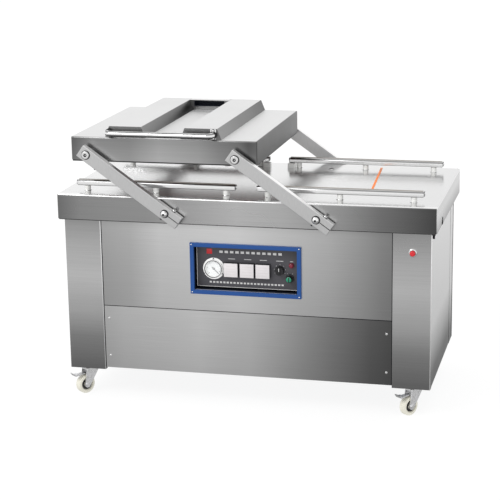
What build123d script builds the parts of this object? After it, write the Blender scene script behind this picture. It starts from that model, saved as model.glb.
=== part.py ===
from build123d import *
import math
import os

# Double-chamber vacuum packing machine, in millimetres.
# X runs along the table, Y from front to rear, Z up. The origin is on the floor, under the table's centre.

# --- worktable ---
TABLE_LENGTH = 1480
TABLE_DEPTH = 750
TABLE_TOP_Z = 830
SKIRT_BOTTOM_Z = 731
TOP_SHEET = 4
SKIRT_SHEET = 3
TABLE_CORNER_RADIUS = 7
RIB_XS = (-560, -120, 120, 560)
RIB_WIDTH = 40
RIB_HEIGHT = 20
SUCTION_HOLE_RADIUS = 10
SUCTION_HOLE_X = 222
SUCTION_HOLE_Y = 276

# --- cabinet ---
CABINET_HALF_LENGTH = 720
CABINET_HALF_DEPTH = 354
PANEL_SHEET = 2
PILLAR_INNER_X = 573
PILLAR_BOTTOM_Z = 116
PILLAR_TOP_Z = 800
FRONT_PILLAR_RETURN = 30
REAR_PILLAR_RETURN = 110
PANEL_FACE_Y = 351
PANEL_BOTTOM_Z = 125
PANEL_TOP_Z = 745
SEAM_Z = 381
SEAM_GAP = 1.5
PANEL_FLANGE = 12
SCREW_X = 552
LOWER_SCREW_ZS = (175, 328.5)
REAR_SCREW_ZS = (160, 430, 715)
SCREW_RADIUS = 5

# --- frame inside the cabinet ---
TUBE = 40
TUBE_WALL = 2.5
FRAME_HALF_LENGTH = 710
FRAME_HALF_DEPTH = 330
LOWER_RAIL_Z = 122
UPPER_RAIL_Z = 700
FLOOR_PLATE = 3
GUSSET = 120

# --- lid carrier: two cross shafts, four arms ---
SHAFT_X = 293.5
SHAFT_Z = 775
SHAFT_RADIUS = 15
SHAFT_HALF_LENGTH = 412
CAP_RADIUS = 13
CAP_LENGTH = 18
ARM_LENGTH = 377
ARM_REST_ANGLE = 35.3
ARM_WIDTH = 50
ARM_INNER_Y = 384
ARM_THICKNESS = 28
ARM_PAST_PIVOT = 29
ARM_PAST_SHAFT = 65
CLAMP_SLIT = 3
CLAMP_BOLT_OFFSET = 22
CLAMP_BOLT_RADIUS = 4
RUNNING_CLEARANCE = 0.05
OPEN_PIVOT_CLEARANCE = 0.35

# --- lid ---
LID_CENTRE_X = -SHAFT_X - ARM_LENGTH * math.cos(math.radians(ARM_REST_ANGLE)) + SHAFT_X
LID_PIVOT_Z = SHAFT_Z + ARM_LENGTH * math.sin(math.radians(ARM_REST_ANGLE))
LID_PIVOT_ABOVE_RIM = 28
LID_RIM_Z = LID_PIVOT_Z - LID_PIVOT_ABOVE_RIM
LID_HEIGHT = 91
LID_TOP_Z = LID_RIM_Z + LID_HEIGHT
LID_HALF_LENGTH = 368
LID_HALF_DEPTH = 364
LID_SHEET = 4
LID_FLANGE = 16
GASKET_WIDTH = 10
GASKET_HEIGHT = 5
CHANNEL_HEIGHT = 42
CHANNEL_FOOT_INNER = 69
CHANNEL_TOP_INNER = 86
CHANNEL_TOP_OUTER = 213.5
CHANNEL_FOOT_OUTER = 230.5
CHANNEL_HALF_DEPTH = 358
CHANNEL_SHEET = 3
CROSSPIECE_DEPTH = 40
HANDLE_HALF_LENGTH = 206
HANDLE_OFFSET_X = -7
HANDLE_Y = -395
HANDLE_RADIUS = 11
HANDLE_BEND = 18
PAD_CLEARANCE = 46.5
PIN_RADIUS = 8

# --- sealing bars ---
BAR_CENTRE_X = 362
BAR_Y = 288
BAR_LENGTH = 636
BAR_WIDTH = 30
BAR_BOTTOM_Z = 853
BAR_HEIGHT = 19
HEATER_HEIGHT = 1.5
POST_RADIUS = 11.5
POST_OFFSETS = (-280, 0, 280)
POST_BOTTOM_Z = 794
POST_HOLE_RADIUS = 12
LIFT_CYLINDER_RADIUS = 17
TERMINAL_X = 52
TERMINAL_Y = 280
TERMINAL_SIZE = (30, 24, 19)

# --- controls ---
OPENING_X = (-199, 210)
OPENING_Z = (467, 637)
BEZEL_X = (-213, 224)
BEZEL_Z = (450, 653)
BEZEL_BAR = 15.5
BEZEL_PROUD = 10
PLATE_X = (-196, 205)
PLATE_Z = (472, 636)
PLATE_FACE_Y = -321
HOUSING_X = (-206, 215)
HOUSING_Z = (460, 645)
HOUSING_BACK_Y = -255
GAUGE_X, GAUGE_Z = -127.6, 545.5
TIMER_XS = (-56.7, 6.8, 69.1)
TIMER_Z = 545
TIMER_SIZE = 55
TIMER_PROUD = 18
HEAT_KNOB_X, HEAT_KNOB_Z = 134, 549.4
LAMP_X, LAMP_Z = 179.7, 571
POWER_KNOB_X, POWER_KNOB_Z = 172.8, 520
STEM_RADIUS = 4
STOP_X, STOP_Z = 649, 651
STOP_RADIUS = 11
STOP_HOLE_RADIUS = 11.4

# --- casters ---
CASTER_X = 655
CASTER_Y = 290
CASTER_TRAIL = 35
CASTER_HEADING = -127
WHEEL_RADIUS = 37.5
WHEEL_WIDTH = 28
AXLE_RADIUS = 4
FORK_SHEET = 3
FORK_INNER = 16.5
PEDAL_PIN_X, PEDAL_PIN_Z = 10, 86

# --- rear cable gland ---
GLAND_X, GLAND_Z = 480, 240
GLAND_BORE_RADIUS = 6


def block(x_span, y_span, z_span):
    """A box between the given limits."""
    spans = [sorted(span) for span in (x_span, y_span, z_span)]
    size = [high - low for low, high in spans]
    centre = [(high + low) / 2 for low, high in spans]
    return Pos(*centre) * Box(*size)


def rod_x(y, z, radius, x_span):
    low, high = sorted(x_span)
    return Pos((low + high) / 2, y, z) * Rot(0, 90, 0) * Cylinder(radius, high - low)


def rod_y(x, z, radius, y_span):
    low, high = sorted(y_span)
    return Pos(x, (low + high) / 2, z) * Rot(90, 0, 0) * Cylinder(radius, high - low)


def rod_z(x, y, radius, z_span):
    low, high = sorted(z_span)
    return Pos(x, y, (low + high) / 2) * Cylinder(radius, high - low)


def profile_along_y(points, y_span):
    """A closed outline in X and Z, drawn out along Y."""
    low, high = sorted(y_span)
    outline = make_face(Polyline(*[(x, low, z) for x, z in points], close=True))
    return extrude(outline, high - low, dir=(0, 1, 0))


def hex_socket_y(x, z, across_flats, y_span):
    """A hexagonal socket to cut into a bolt head that faces along Y."""
    low, high = sorted(y_span)
    flats = RegularPolygon(across_flats / 2, 6, major_radius=False)
    return Pos(x, low, z) * Rot(-90, 0, 0) * extrude(flats, high - low)


def square_tube(x_span, y_span, z_span, axis):
    """A hollow square tube that is open at both ends along one axis."""
    outer_spans = [x_span, y_span, z_span]
    inner_spans = []
    for index, span in enumerate(outer_spans):
        low, high = sorted(span)
        inset = -1 if index == axis else TUBE_WALL
        inner_spans.append((low + inset, high - inset))
    return block(*outer_spans) - block(*inner_spans)


# --- worktable and sealing bars ---

def bar_centres():
    return [(side * BAR_CENTRE_X, row * BAR_Y) for side in (-1, 1) for row in (-1, 1)]


def post_places():
    return [(x + offset, y) for x, y in bar_centres() for offset in POST_OFFSETS]


def make_worktable():
    half_x, half_y = TABLE_LENGTH / 2, TABLE_DEPTH / 2
    underside_z = TABLE_TOP_Z - TOP_SHEET
    table = block((-half_x, half_x), (-half_y, half_y), (SKIRT_BOTTOM_Z, TABLE_TOP_Z))
    table = fillet(table.edges().filter_by(Axis.Z), TABLE_CORNER_RADIUS)
    table = fillet(table.faces().sort_by(Axis.Z)[-1].edges(), TABLE_CORNER_RADIUS)
    table -= block(
        (-half_x + SKIRT_SHEET, half_x - SKIRT_SHEET),
        (-half_y + SKIRT_SHEET, half_y - SKIRT_SHEET),
        (SKIRT_BOTTOM_Z - 1, underside_z),
    )
    for x in RIB_XS:
        table += block(
            (x - RIB_WIDTH / 2, x + RIB_WIDTH / 2), (-340, 340), (underside_z - RIB_HEIGHT, underside_z)
        )
    for x, y in post_places():
        table -= rod_z(x, y, POST_HOLE_RADIUS, (underside_z - 1, TABLE_TOP_Z + 1))
    for side in (-1, 1):
        table -= rod_z(
            side * SUCTION_HOLE_X, SUCTION_HOLE_Y, SUCTION_HOLE_RADIUS, (underside_z - 1, TABLE_TOP_Z + 1)
        )
        table -= rod_y(side * SHAFT_X, SHAFT_Z, SHAFT_RADIUS + 3, (-half_y - 1, half_y + 1))
    return [table]


def make_seal_bar(centre_x, centre_y):
    """Aluminium bar with its heating strip, on three posts that pass through the table."""
    top_z = BAR_BOTTOM_Z + BAR_HEIGHT
    half_length = BAR_LENGTH / 2
    bar = block(
        (centre_x - half_length, centre_x + half_length),
        (centre_y - BAR_WIDTH / 2, centre_y + BAR_WIDTH / 2),
        (BAR_BOTTOM_Z, top_z),
    )
    bar = fillet(bar.edges().filter_by(Axis.X), 3)
    bar += block(
        (centre_x - half_length + 8, centre_x + half_length - 8),
        (centre_y - 5, centre_y + 5),
        (top_z - 1, top_z + HEATER_HEIGHT),
    )
    for side in (-1, 1):
        end_x = centre_x + side * half_length
        bar += rod_x(centre_y, BAR_BOTTOM_Z + BAR_HEIGHT / 2, 5, (end_x, end_x + side * 5))
    posts = [
        rod_z(centre_x + offset, centre_y, POST_RADIUS, (POST_BOTTOM_Z, BAR_BOTTOM_Z)) for offset in POST_OFFSETS
    ]
    return [bar] + posts


def make_bar_cylinders():
    """Blind lifting cylinders under the table, one for each post."""
    cylinders = []
    for x, y in post_places():
        body = rod_z(x, y, LIFT_CYLINDER_RADIUS, (780, TABLE_TOP_Z - TOP_SHEET))
        cylinders.append(body - rod_z(x, y, POST_HOLE_RADIUS, (786, TABLE_TOP_Z)))
    return cylinders


def make_terminal_blocks():
    """Insulating blocks under the inner ends of the two rear bars."""
    blocks = []
    for side in (-1, 1):
        body = Pos(side * TERMINAL_X, TERMINAL_Y, TABLE_TOP_Z + TERMINAL_SIZE[2] / 2) * Box(*TERMINAL_SIZE)
        body = fillet(body.edges().filter_by(Axis.Z), 3)
        blocks.append(fillet(body.faces().sort_by(Axis.Z)[-1].edges(), 2))
    return blocks


# --- cabinet ---

def make_base_frame():
    """Square-tube frame with a floor plate and a gusset over each caster."""
    inner_x = FRAME_HALF_LENGTH - TUBE
    inner_y = FRAME_HALF_DEPTH - TUBE
    lower_top = LOWER_RAIL_Z + TUBE
    pieces = []
    for side in (-1, 1):
        rail_y = (side * inner_y, side * FRAME_HALF_DEPTH)
        rail_x = (side * inner_x, side * FRAME_HALF_LENGTH)
        upper_z = (UPPER_RAIL_Z, UPPER_RAIL_Z + TUBE)
        lower_z = (LOWER_RAIL_Z, lower_top)
        pieces.append(square_tube((-FRAME_HALF_LENGTH, FRAME_HALF_LENGTH), rail_y, lower_z, 0))
        pieces.append(square_tube((-inner_x, inner_x), rail_y, upper_z, 0))
        pieces.append(square_tube(rail_x, (-inner_y, inner_y), lower_z, 1))
        pieces.append(square_tube(rail_x, (-inner_y, inner_y), upper_z, 1))
        for other in (-1, 1):
            post_y = (other * inner_y, other * FRAME_HALF_DEPTH)
            pieces.append(square_tube(rail_x, post_y, (lower_top, TABLE_TOP_Z - TOP_SHEET), 2))
            pieces.append(
                block(
                    (side * (FRAME_HALF_LENGTH - GUSSET), side * FRAME_HALF_LENGTH),
                    (other * (FRAME_HALF_DEPTH - GUSSET), other * FRAME_HALF_DEPTH),
                    (PILLAR_BOTTOM_Z, LOWER_RAIL_Z),
                )
            )
    pieces.append(
        block((-inner_x, inner_x), (-FRAME_HALF_DEPTH, FRAME_HALF_DEPTH), (lower_top, lower_top + FLOOR_PLATE))
    )
    return pieces


def make_corner_pillar(side, row, side_return):
    """Bent sheet round one corner of the cabinet, with a short return beside the centre panel."""
    outer_x = side * CABINET_HALF_LENGTH
    inner_x = side * PILLAR_INNER_X
    face_y = row * CABINET_HALF_DEPTH
    heights = (PILLAR_BOTTOM_Z, PILLAR_TOP_Z)
    pillar = block((inner_x, outer_x), (face_y, face_y - row * PANEL_SHEET), heights)
    pillar += block((outer_x, outer_x - side * PANEL_SHEET), (face_y, face_y - row * side_return), heights)
    pillar += block((inner_x, inner_x + side * PANEL_SHEET), (face_y, face_y - row * 20), heights)
    corners = [
        edge
        for edge in pillar.edges().filter_by(Axis.Z)
        if abs(edge.center().Y - face_y) < 0.01
    ]
    return fillet(corners, 1.9)


def make_corner_pillars():
    front = [make_corner_pillar(side, -1, FRONT_PILLAR_RETURN) for side in (-1, 1)]
    rear = [make_corner_pillar(side, 1, REAR_PILLAR_RETURN) for side in (-1, 1)]
    front[1] -= rod_y(STOP_X, STOP_Z, STOP_HOLE_RADIUS, (-CABINET_HALF_DEPTH - 1, -CABINET_HALF_DEPTH + 5))
    return front + rear


def make_centre_panel(row, z_span, flange_low, flange_high):
    """Flat panel between two pillars, with stiffening flanges along the edges that are asked for."""
    half_x = PILLAR_INNER_X - 0.3
    low, high = z_span
    back_y = row * (PANEL_FACE_Y - PANEL_FLANGE)
    panel = block((-half_x, half_x), (row * PANEL_FACE_Y, row * (PANEL_FACE_Y - PANEL_SHEET)), z_span)
    if flange_low:
        panel += block((-half_x + 20, half_x - 20), (row * PANEL_FACE_Y, back_y), (low, low + PANEL_SHEET))
    if flange_high:
        panel += block((-half_x + 20, half_x - 20), (row * PANEL_FACE_Y, back_y), (high - PANEL_SHEET, high))
    return panel


def make_front_upper_panel():
    panel = make_centre_panel(-1, (SEAM_Z + SEAM_GAP / 2, PANEL_TOP_Z), True, False)
    return [panel - block(OPENING_X, (-PANEL_FACE_Y - 1, -PANEL_FACE_Y + 5), OPENING_Z)]


def make_front_lower_panel():
    return [make_centre_panel(-1, (PANEL_BOTTOM_Z, SEAM_Z - SEAM_GAP / 2), True, True)]


def make_rear_panel():
    """Rear panel with two fields of vent slots and the hole for the cable gland."""
    panel = make_centre_panel(1, (PANEL_BOTTOM_Z, PANEL_TOP_Z), True, False)
    for field_x in (-300, 300):
        for row in range(8):
            slot_z = 520 + row * 18
            panel -= block((field_x - 70, field_x + 70), (PANEL_FACE_Y - 5, PANEL_FACE_Y + 1), (slot_z, slot_z + 6))
    panel -= rod_y(GLAND_X, GLAND_Z, 10.2, (PANEL_FACE_Y - 5, PANEL_FACE_Y + 1))
    return [panel]


def make_side_panels():
    front_y = -CABINET_HALF_DEPTH + FRONT_PILLAR_RETURN + 1
    rear_y = CABINET_HALF_DEPTH - REAR_PILLAR_RETURN - 1
    panels = []
    for side in (-1, 1):
        face_x = side * (CABINET_HALF_LENGTH - 1)
        panel = block(
            (face_x, face_x - side * PANEL_SHEET), (front_y, rear_y), (PILLAR_BOTTOM_Z, PILLAR_TOP_Z)
        )
        panels.append(panel)
    return panels


def dome_screw(x, face_y, z, row):
    """Low domed screw head that stands on a panel face."""
    head = rod_y(x, z, SCREW_RADIUS, (face_y, face_y + row * 3))
    outer_rim = head.faces().sort_by(Axis.Y)[-1 if row > 0 else 0].edges()
    return fillet(outer_rim, 2)


def make_panel_screws():
    screws = []
    for side in (-1, 1):
        for z in LOWER_SCREW_ZS:
            screws.append(dome_screw(side * SCREW_X, -PANEL_FACE_Y, z, -1))
        for z in REAR_SCREW_ZS:
            screws.append(dome_screw(side * SCREW_X, PANEL_FACE_Y, z, 1))
    return screws


def make_cable_gland():
    """Gland body through the rear panel: a hexagon outside, a lock nut inside, one through bore."""
    body = rod_y(GLAND_X, GLAND_Z, 10, (PANEL_FACE_Y - 12, PANEL_FACE_Y + 4))
    flats = extrude(RegularPolygon(13, 6, major_radius=False), 8)
    body += Pos(GLAND_X, PANEL_FACE_Y, GLAND_Z) * Rot(-90, 0, 0) * flats
    nut = extrude(RegularPolygon(13, 6, major_radius=False), 5)
    body += Pos(GLAND_X, PANEL_FACE_Y - PANEL_SHEET - 5, GLAND_Z) * Rot(-90, 0, 0) * nut
    body += rod_y(GLAND_X, GLAND_Z, 11, (PANEL_FACE_Y + 8, PANEL_FACE_Y + 18))
    return [body - rod_y(GLAND_X, GLAND_Z, GLAND_BORE_RADIUS, (PANEL_FACE_Y - 20, PANEL_FACE_Y + 30))]


# --- controls ---

def make_control_bezel():
    """Four mitred bars round the control opening."""
    x0, x1 = BEZEL_X
    z0, z1 = BEZEL_Z
    outer = [(x0, z0), (x1, z0), (x1, z1), (x0, z1)]
    inner = [
        (x0 + BEZEL_BAR, z0 + BEZEL_BAR),
        (x1 - BEZEL_BAR, z0 + BEZEL_BAR),
        (x1 - BEZEL_BAR, z1 - BEZEL_BAR),
        (x0 + BEZEL_BAR, z1 - BEZEL_BAR),
    ]
    front_y = -PANEL_FACE_Y - BEZEL_PROUD
    bars = []
    for index in range(4):
        following = (index + 1) % 4
        corners = [outer[index], outer[following], inner[following], inner[index]]
        bar = profile_along_y(corners, (front_y, -PANEL_FACE_Y))
        front_edges = bar.faces().sort_by(Axis.Y)[0].edges()
        long_edges = [edge for edge in front_edges if edge.length > 2 * BEZEL_BAR]
        bars.append(fillet(long_edges, 2))
    return bars


def make_control_housing():
    """Open-fronted tray behind the front panel."""
    wall = 1.5
    x0, x1 = HOUSING_X
    z0, z1 = HOUSING_Z
    front_y = -PANEL_FACE_Y + PANEL_SHEET
    tray = block(HOUSING_X, (front_y, HOUSING_BACK_Y), HOUSING_Z)
    return [tray - block((x0 + wall, x1 - wall), (front_y - 1, HOUSING_BACK_Y - wall), (z0 + wall, z1 - wall))]


def make_control_plate():
    """Instrument plate with side returns that reach the back of the housing."""
    sheet = 3
    back_y = HOUSING_BACK_Y - 1.5
    plate = block(PLATE_X, (PLATE_FACE_Y, PLATE_FACE_Y + sheet), PLATE_Z)
    for edge_x, inward in zip(PLATE_X, (1, -1)):
        plate += block((edge_x, edge_x + inward * sheet), (PLATE_FACE_Y, back_y), PLATE_Z)
    cut = (PLATE_FACE_Y - 1, PLATE_FACE_Y + sheet + 1)
    plate -= rod_y(GAUGE_X, GAUGE_Z, 31, cut)
    for x in TIMER_XS:
        plate -= block((x - 24.5, x + 24.5), cut, (TIMER_Z - 24.5, TIMER_Z + 24.5))
    for x, z in ((HEAT_KNOB_X, HEAT_KNOB_Z), (POWER_KNOB_X, POWER_KNOB_Z), (LAMP_X, LAMP_Z)):
        plate -= rod_y(x, z, 6, cut)
    return [plate]


def make_gauge_case():
    """Flanged dial gauge with a raised rim and the pin of its pointer."""
    flange_y = PLATE_FACE_Y - 4
    case = rod_y(GAUGE_X, GAUGE_Z, 42.5, (flange_y, PLATE_FACE_Y))
    case += rod_y(GAUGE_X, GAUGE_Z, 37, (flange_y - 10, flange_y))
    case -= rod_y(GAUGE_X, GAUGE_Z, 33, (flange_y - 11, flange_y))
    case += rod_y(GAUGE_X, GAUGE_Z, 30.5, (PLATE_FACE_Y - 1, PLATE_FACE_Y + 42))
    case += rod_y(GAUGE_X, GAUGE_Z, 1.5, (flange_y - 4, flange_y))
    return [case]


def make_gauge_needle():
    """Pointer on a small hub, resting towards the zero mark at the lower right."""
    back_y = PLATE_FACE_Y - 6
    front_y = back_y - 1
    pointer = Pos(GAUGE_X, (front_y + back_y) / 2, GAUGE_Z) * Rot(0, 45, 0) * Pos(8, 0, 0) * Box(36, 1, 1.8)
    needle = rod_y(GAUGE_X, GAUGE_Z, 4, (front_y, back_y)) + pointer
    return [needle - rod_y(GAUGE_X, GAUGE_Z, 1.5 + RUNNING_CLEARANCE, (front_y - 1, back_y + 1))]


def make_timer_modules():
    modules = []
    half = TIMER_SIZE / 2
    for x in TIMER_XS:
        front_y = PLATE_FACE_Y - TIMER_PROUD
        module = block((x - half, x + half), (front_y, PLATE_FACE_Y), (TIMER_Z - half, TIMER_Z + half))
        module = fillet(module.faces().sort_by(Axis.Y)[0].edges(), 2)
        module -= block((x - 23, x + 23), (front_y - 1, front_y + 2), (TIMER_Z - 23, TIMER_Z + 23))
        module += block((x - 24, x + 24), (PLATE_FACE_Y - 1, PLATE_FACE_Y + 45), (TIMER_Z - 24, TIMER_Z + 24))
        modules.append(module)
    return modules


def make_switch_collars():
    """Fixed rings round the two rotary knobs and the push button."""
    heat = rod_y(HEAT_KNOB_X, HEAT_KNOB_Z, 18, (PLATE_FACE_Y - 3, PLATE_FACE_Y))
    heat -= rod_y(HEAT_KNOB_X, HEAT_KNOB_Z, STEM_RADIUS + 0.4, (PLATE_FACE_Y - 4, PLATE_FACE_Y + 1))
    power = rod_y(POWER_KNOB_X, POWER_KNOB_Z, 16, (PLATE_FACE_Y - 7, PLATE_FACE_Y))
    power = fillet(power.faces().sort_by(Axis.Y)[0].edges(), 2)
    power -= rod_y(POWER_KNOB_X, POWER_KNOB_Z, STEM_RADIUS + 0.4, (PLATE_FACE_Y - 8, PLATE_FACE_Y + 1))
    face_y = -CABINET_HALF_DEPTH
    stop = rod_y(STOP_X, STOP_Z, 14.5, (face_y - 6, face_y))
    stop = fillet(stop.faces().sort_by(Axis.Y)[0].edges(), 2)
    stop -= rod_y(STOP_X, STOP_Z, STOP_HOLE_RADIUS, (face_y - 7, face_y + 1))
    return [heat, power, stop]


def make_power_lamp():
    """Domed pilot lamp with its stem through the plate."""
    ring = rod_y(LAMP_X, LAMP_Z, 10.5, (PLATE_FACE_Y - 3, PLATE_FACE_Y))
    lens = rod_y(LAMP_X, LAMP_Z, 9, (PLATE_FACE_Y - 11, PLATE_FACE_Y - 2))
    lens = fillet(lens.faces().sort_by(Axis.Y)[0].edges(), 5)
    return [ring + lens + rod_y(LAMP_X, LAMP_Z, 5.5, (PLATE_FACE_Y - 1, PLATE_FACE_Y + 26))]


def make_heat_knob():
    """Fluted rotary knob with a raised grip bar."""
    back_y = PLATE_FACE_Y - 3.4
    front_y = back_y - 14
    knob = rod_y(HEAT_KNOB_X, HEAT_KNOB_Z, 16.5, (front_y, back_y))
    for index in range(12):
        angle = math.radians(index * 30)
        flute_x = HEAT_KNOB_X + 18 * math.cos(angle)
        flute_z = HEAT_KNOB_Z + 18 * math.sin(angle)
        knob -= rod_y(flute_x, flute_z, 2.6, (front_y - 1, back_y + 1))
    knob += block(
        (HEAT_KNOB_X - 3.5, HEAT_KNOB_X + 3.5), (front_y - 5, front_y + 1), (HEAT_KNOB_Z - 13, HEAT_KNOB_Z + 13)
    )
    return [knob + rod_y(HEAT_KNOB_X, HEAT_KNOB_Z, STEM_RADIUS, (back_y - 1, PLATE_FACE_Y + 20))]


def make_power_knob():
    """Selector knob: a short disc with a lever bar across it."""
    back_y = PLATE_FACE_Y - 7.4
    knob = rod_y(POWER_KNOB_X, POWER_KNOB_Z, 11.5, (back_y - 5, back_y))
    knob += block(
        (POWER_KNOB_X - 4, POWER_KNOB_X + 4), (back_y - 15, back_y - 4), (POWER_KNOB_Z - 12, POWER_KNOB_Z + 12)
    )
    return [knob + rod_y(POWER_KNOB_X, POWER_KNOB_Z, STEM_RADIUS, (back_y - 1, PLATE_FACE_Y + 20))]


def make_stop_button():
    """Domed push button that slides in its collar."""
    front_y = -CABINET_HALF_DEPTH - 18
    button = rod_y(STOP_X, STOP_Z, STOP_RADIUS, (front_y, -CABINET_HALF_DEPTH + 8))
    return [fillet(button.faces().sort_by(Axis.Y)[0].edges(), 6)]


# --- lid carrier ---

def make_shaft_bearings():
    """Pillow blocks on the upper rails, one for each end of each cross shaft."""
    base_z = UPPER_RAIL_Z + TUBE
    bearings = []
    for side in (-1, 1):
        for row in (-1, 1):
            x = side * SHAFT_X
            y = row * (FRAME_HALF_DEPTH - TUBE / 2)
            bearing = block((x - 55, x + 55), (y - 17, y + 17), (base_z, base_z + 14))
            bearing += rod_y(x, SHAFT_Z, 32, (y - 13, y + 13)) & block(
                (x - 40, x + 40), (y - 20, y + 20), (base_z, SHAFT_Z + 40)
            )
            bearing -= rod_y(x, SHAFT_Z, SHAFT_RADIUS + RUNNING_CLEARANCE, (y - 20, y + 20))
            for foot in (-43, 43):
                bearing += rod_z(x + foot, y, 7, (base_z + 13, base_z + 20))
            bearings.append(bearing)
    return bearings


def make_swing_shaft(side):
    """Cross shaft with a domed cap on each end."""
    x = side * SHAFT_X
    shaft = rod_y(x, SHAFT_Z, SHAFT_RADIUS, (-SHAFT_HALF_LENGTH, SHAFT_HALF_LENGTH))
    for row in (-1, 1):
        start_y = row * SHAFT_HALF_LENGTH
        cap = rod_y(x, SHAFT_Z, CAP_RADIUS, (start_y, start_y + row * CAP_LENGTH))
        cap = fillet(cap.faces().sort_by(Axis.Y)[-1 if row > 0 else 0].edges(), CAP_RADIUS - 3)
        shaft += cap
    return [shaft]


def arm_plane(side):
    """Local frame of an arm: x from the shaft to the lid pivot, y towards the arm's upper edge, z to the rear."""
    rest = math.radians(ARM_REST_ANGLE)
    return Plane(
        origin=(side * SHAFT_X, 0, SHAFT_Z),
        x_dir=(-math.cos(rest), 0, math.sin(rest)),
        z_dir=(0, 1, 0),
    )


def make_arm(side, row):
    """Flat bar, clamped on the shaft by a slit and a pinch bolt, with a plain bore for the lid pin."""
    middle_y = row * (ARM_INNER_Y + ARM_THICKNESS / 2)
    length = ARM_LENGTH + ARM_PAST_PIVOT + ARM_PAST_SHAFT
    centre = (ARM_LENGTH + ARM_PAST_PIVOT - ARM_PAST_SHAFT) / 2
    pin_clearance = RUNNING_CLEARANCE if side < 0 else OPEN_PIVOT_CLEARANCE
    bar = Pos(centre, 0, middle_y) * Box(length, ARM_WIDTH, ARM_THICKNESS)
    bar = fillet(bar.edges(), 1.5)
    bar -= Pos(0, 0, middle_y) * Cylinder(SHAFT_RADIUS + RUNNING_CLEARANCE, ARM_THICKNESS + 2)
    bar -= Pos(ARM_LENGTH, 0, middle_y) * Cylinder(PIN_RADIUS + pin_clearance, ARM_THICKNESS + 2)
    slit_centre = -(ARM_PAST_SHAFT + SHAFT_RADIUS) / 2
    bar -= Pos(slit_centre, 0, middle_y) * Box(ARM_PAST_SHAFT, CLAMP_SLIT, ARM_THICKNESS + 2)
    bolt_hole = Cylinder(CLAMP_BOLT_RADIUS + 0.2, ARM_WIDTH + 2)
    bar -= Pos(-CLAMP_BOLT_OFFSET, 0, middle_y) * Rot(90, 0, 0) * bolt_hole
    return [arm_plane(side) * bar]


def make_clamp_bolts(side):
    """Socket-head pinch bolts of one pair of arms."""
    bolts = []
    edge = ARM_WIDTH / 2
    for row in (-1, 1):
        middle_y = row * (ARM_INNER_Y + ARM_THICKNESS / 2)
        stem = Pos(0, 0, 2.5 - edge) * Cylinder(
            CLAMP_BOLT_RADIUS, 2 * edge - 5, align=(Align.CENTER, Align.CENTER, Align.MIN)
        )
        head = Pos(0, 0, edge) * Cylinder(6.5, 8, align=(Align.CENTER, Align.CENTER, Align.MIN))
        neck = Pos(0, 0, edge - 3) * Cylinder(
            CLAMP_BOLT_RADIUS, 4, align=(Align.CENTER, Align.CENTER, Align.MIN)
        )
        socket = Pos(0, 0, edge + 4) * extrude(RegularPolygon(3, 6, major_radius=False), 5)
        bolt = stem + neck + head - socket
        bolts.append(arm_plane(side) * Pos(-CLAMP_BOLT_OFFSET, 0, middle_y) * Rot(-90, 0, 0) * bolt)
    return bolts


# --- lid ---

def make_lid_shell():
    """Folded lid, open below, with an inward flange round its rim."""
    x0, x1 = LID_CENTRE_X - LID_HALF_LENGTH, LID_CENTRE_X + LID_HALF_LENGTH
    depth = LID_HALF_DEPTH
    shell = block((x0, x1), (-depth, depth), (LID_RIM_Z, LID_TOP_Z))
    shell = fillet(shell.edges().filter_by(Axis.Z), 6)
    shell = fillet(shell.faces().sort_by(Axis.Z)[-1].edges(), 6)
    shell -= block(
        (x0 + LID_SHEET, x1 - LID_SHEET),
        (-depth + LID_SHEET, depth - LID_SHEET),
        (LID_RIM_Z + LID_SHEET, LID_TOP_Z - LID_SHEET),
    )
    shell -= block(
        (x0 + LID_FLANGE, x1 - LID_FLANGE),
        (-depth + LID_FLANGE, depth - LID_FLANGE),
        (LID_RIM_Z - 1, LID_RIM_Z + LID_SHEET + 1),
    )
    return [shell]


def channel_outline(side, sheet):
    """Hat profile of one raised channel, offset inward by the sheet thickness."""
    slope = (CHANNEL_TOP_INNER - CHANNEL_FOOT_INNER) / CHANNEL_HEIGHT
    top_z = LID_TOP_Z + CHANNEL_HEIGHT - sheet
    foot_inner = CHANNEL_FOOT_INNER + 1.08 * sheet
    foot_outer = CHANNEL_FOOT_OUTER - 1.08 * sheet
    rise = top_z - LID_TOP_Z
    points = [
        (foot_inner, LID_TOP_Z),
        (foot_inner + slope * rise, top_z),
        (foot_outer - slope * rise, top_z),
        (foot_outer, LID_TOP_Z),
    ]
    return [(LID_CENTRE_X + side * x, z) for x, z in points]


def make_lid_channels():
    channels = []
    for side in (-1, 1):
        outer = profile_along_y(channel_outline(side, 0), (-CHANNEL_HALF_DEPTH, CHANNEL_HALF_DEPTH))
        top_edges = outer.faces().sort_by(Axis.Z)[-1].edges().filter_by(Axis.Y)
        outer = fillet(top_edges, 3)
        inner_depth = CHANNEL_HALF_DEPTH - CHANNEL_SHEET
        inner = profile_along_y(channel_outline(side, CHANNEL_SHEET), (-inner_depth, inner_depth))
        channels.append(outer - inner)
    return channels


def make_lid_crosspiece():
    """Hollow bridge between the channels at the rear, with a long slot in its front face."""
    gap = 0.4
    rear_y = CHANNEL_HALF_DEPTH
    front_y = rear_y - CROSSPIECE_DEPTH
    top_z = LID_TOP_Z + CHANNEL_HEIGHT
    foot = CHANNEL_FOOT_INNER - gap
    top = CHANNEL_TOP_INNER - gap
    outline = [(-foot, LID_TOP_Z), (-top, top_z), (top, top_z), (foot, LID_TOP_Z)]
    bridge = profile_along_y([(LID_CENTRE_X + x, z) for x, z in outline], (front_y, rear_y))
    slot = block(
        (LID_CENTRE_X - foot + 3, LID_CENTRE_X + foot - 3),
        (front_y - 1, rear_y - 3),
        (LID_TOP_Z + 16, top_z - 3),
    )
    return [bridge - slot]


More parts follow.
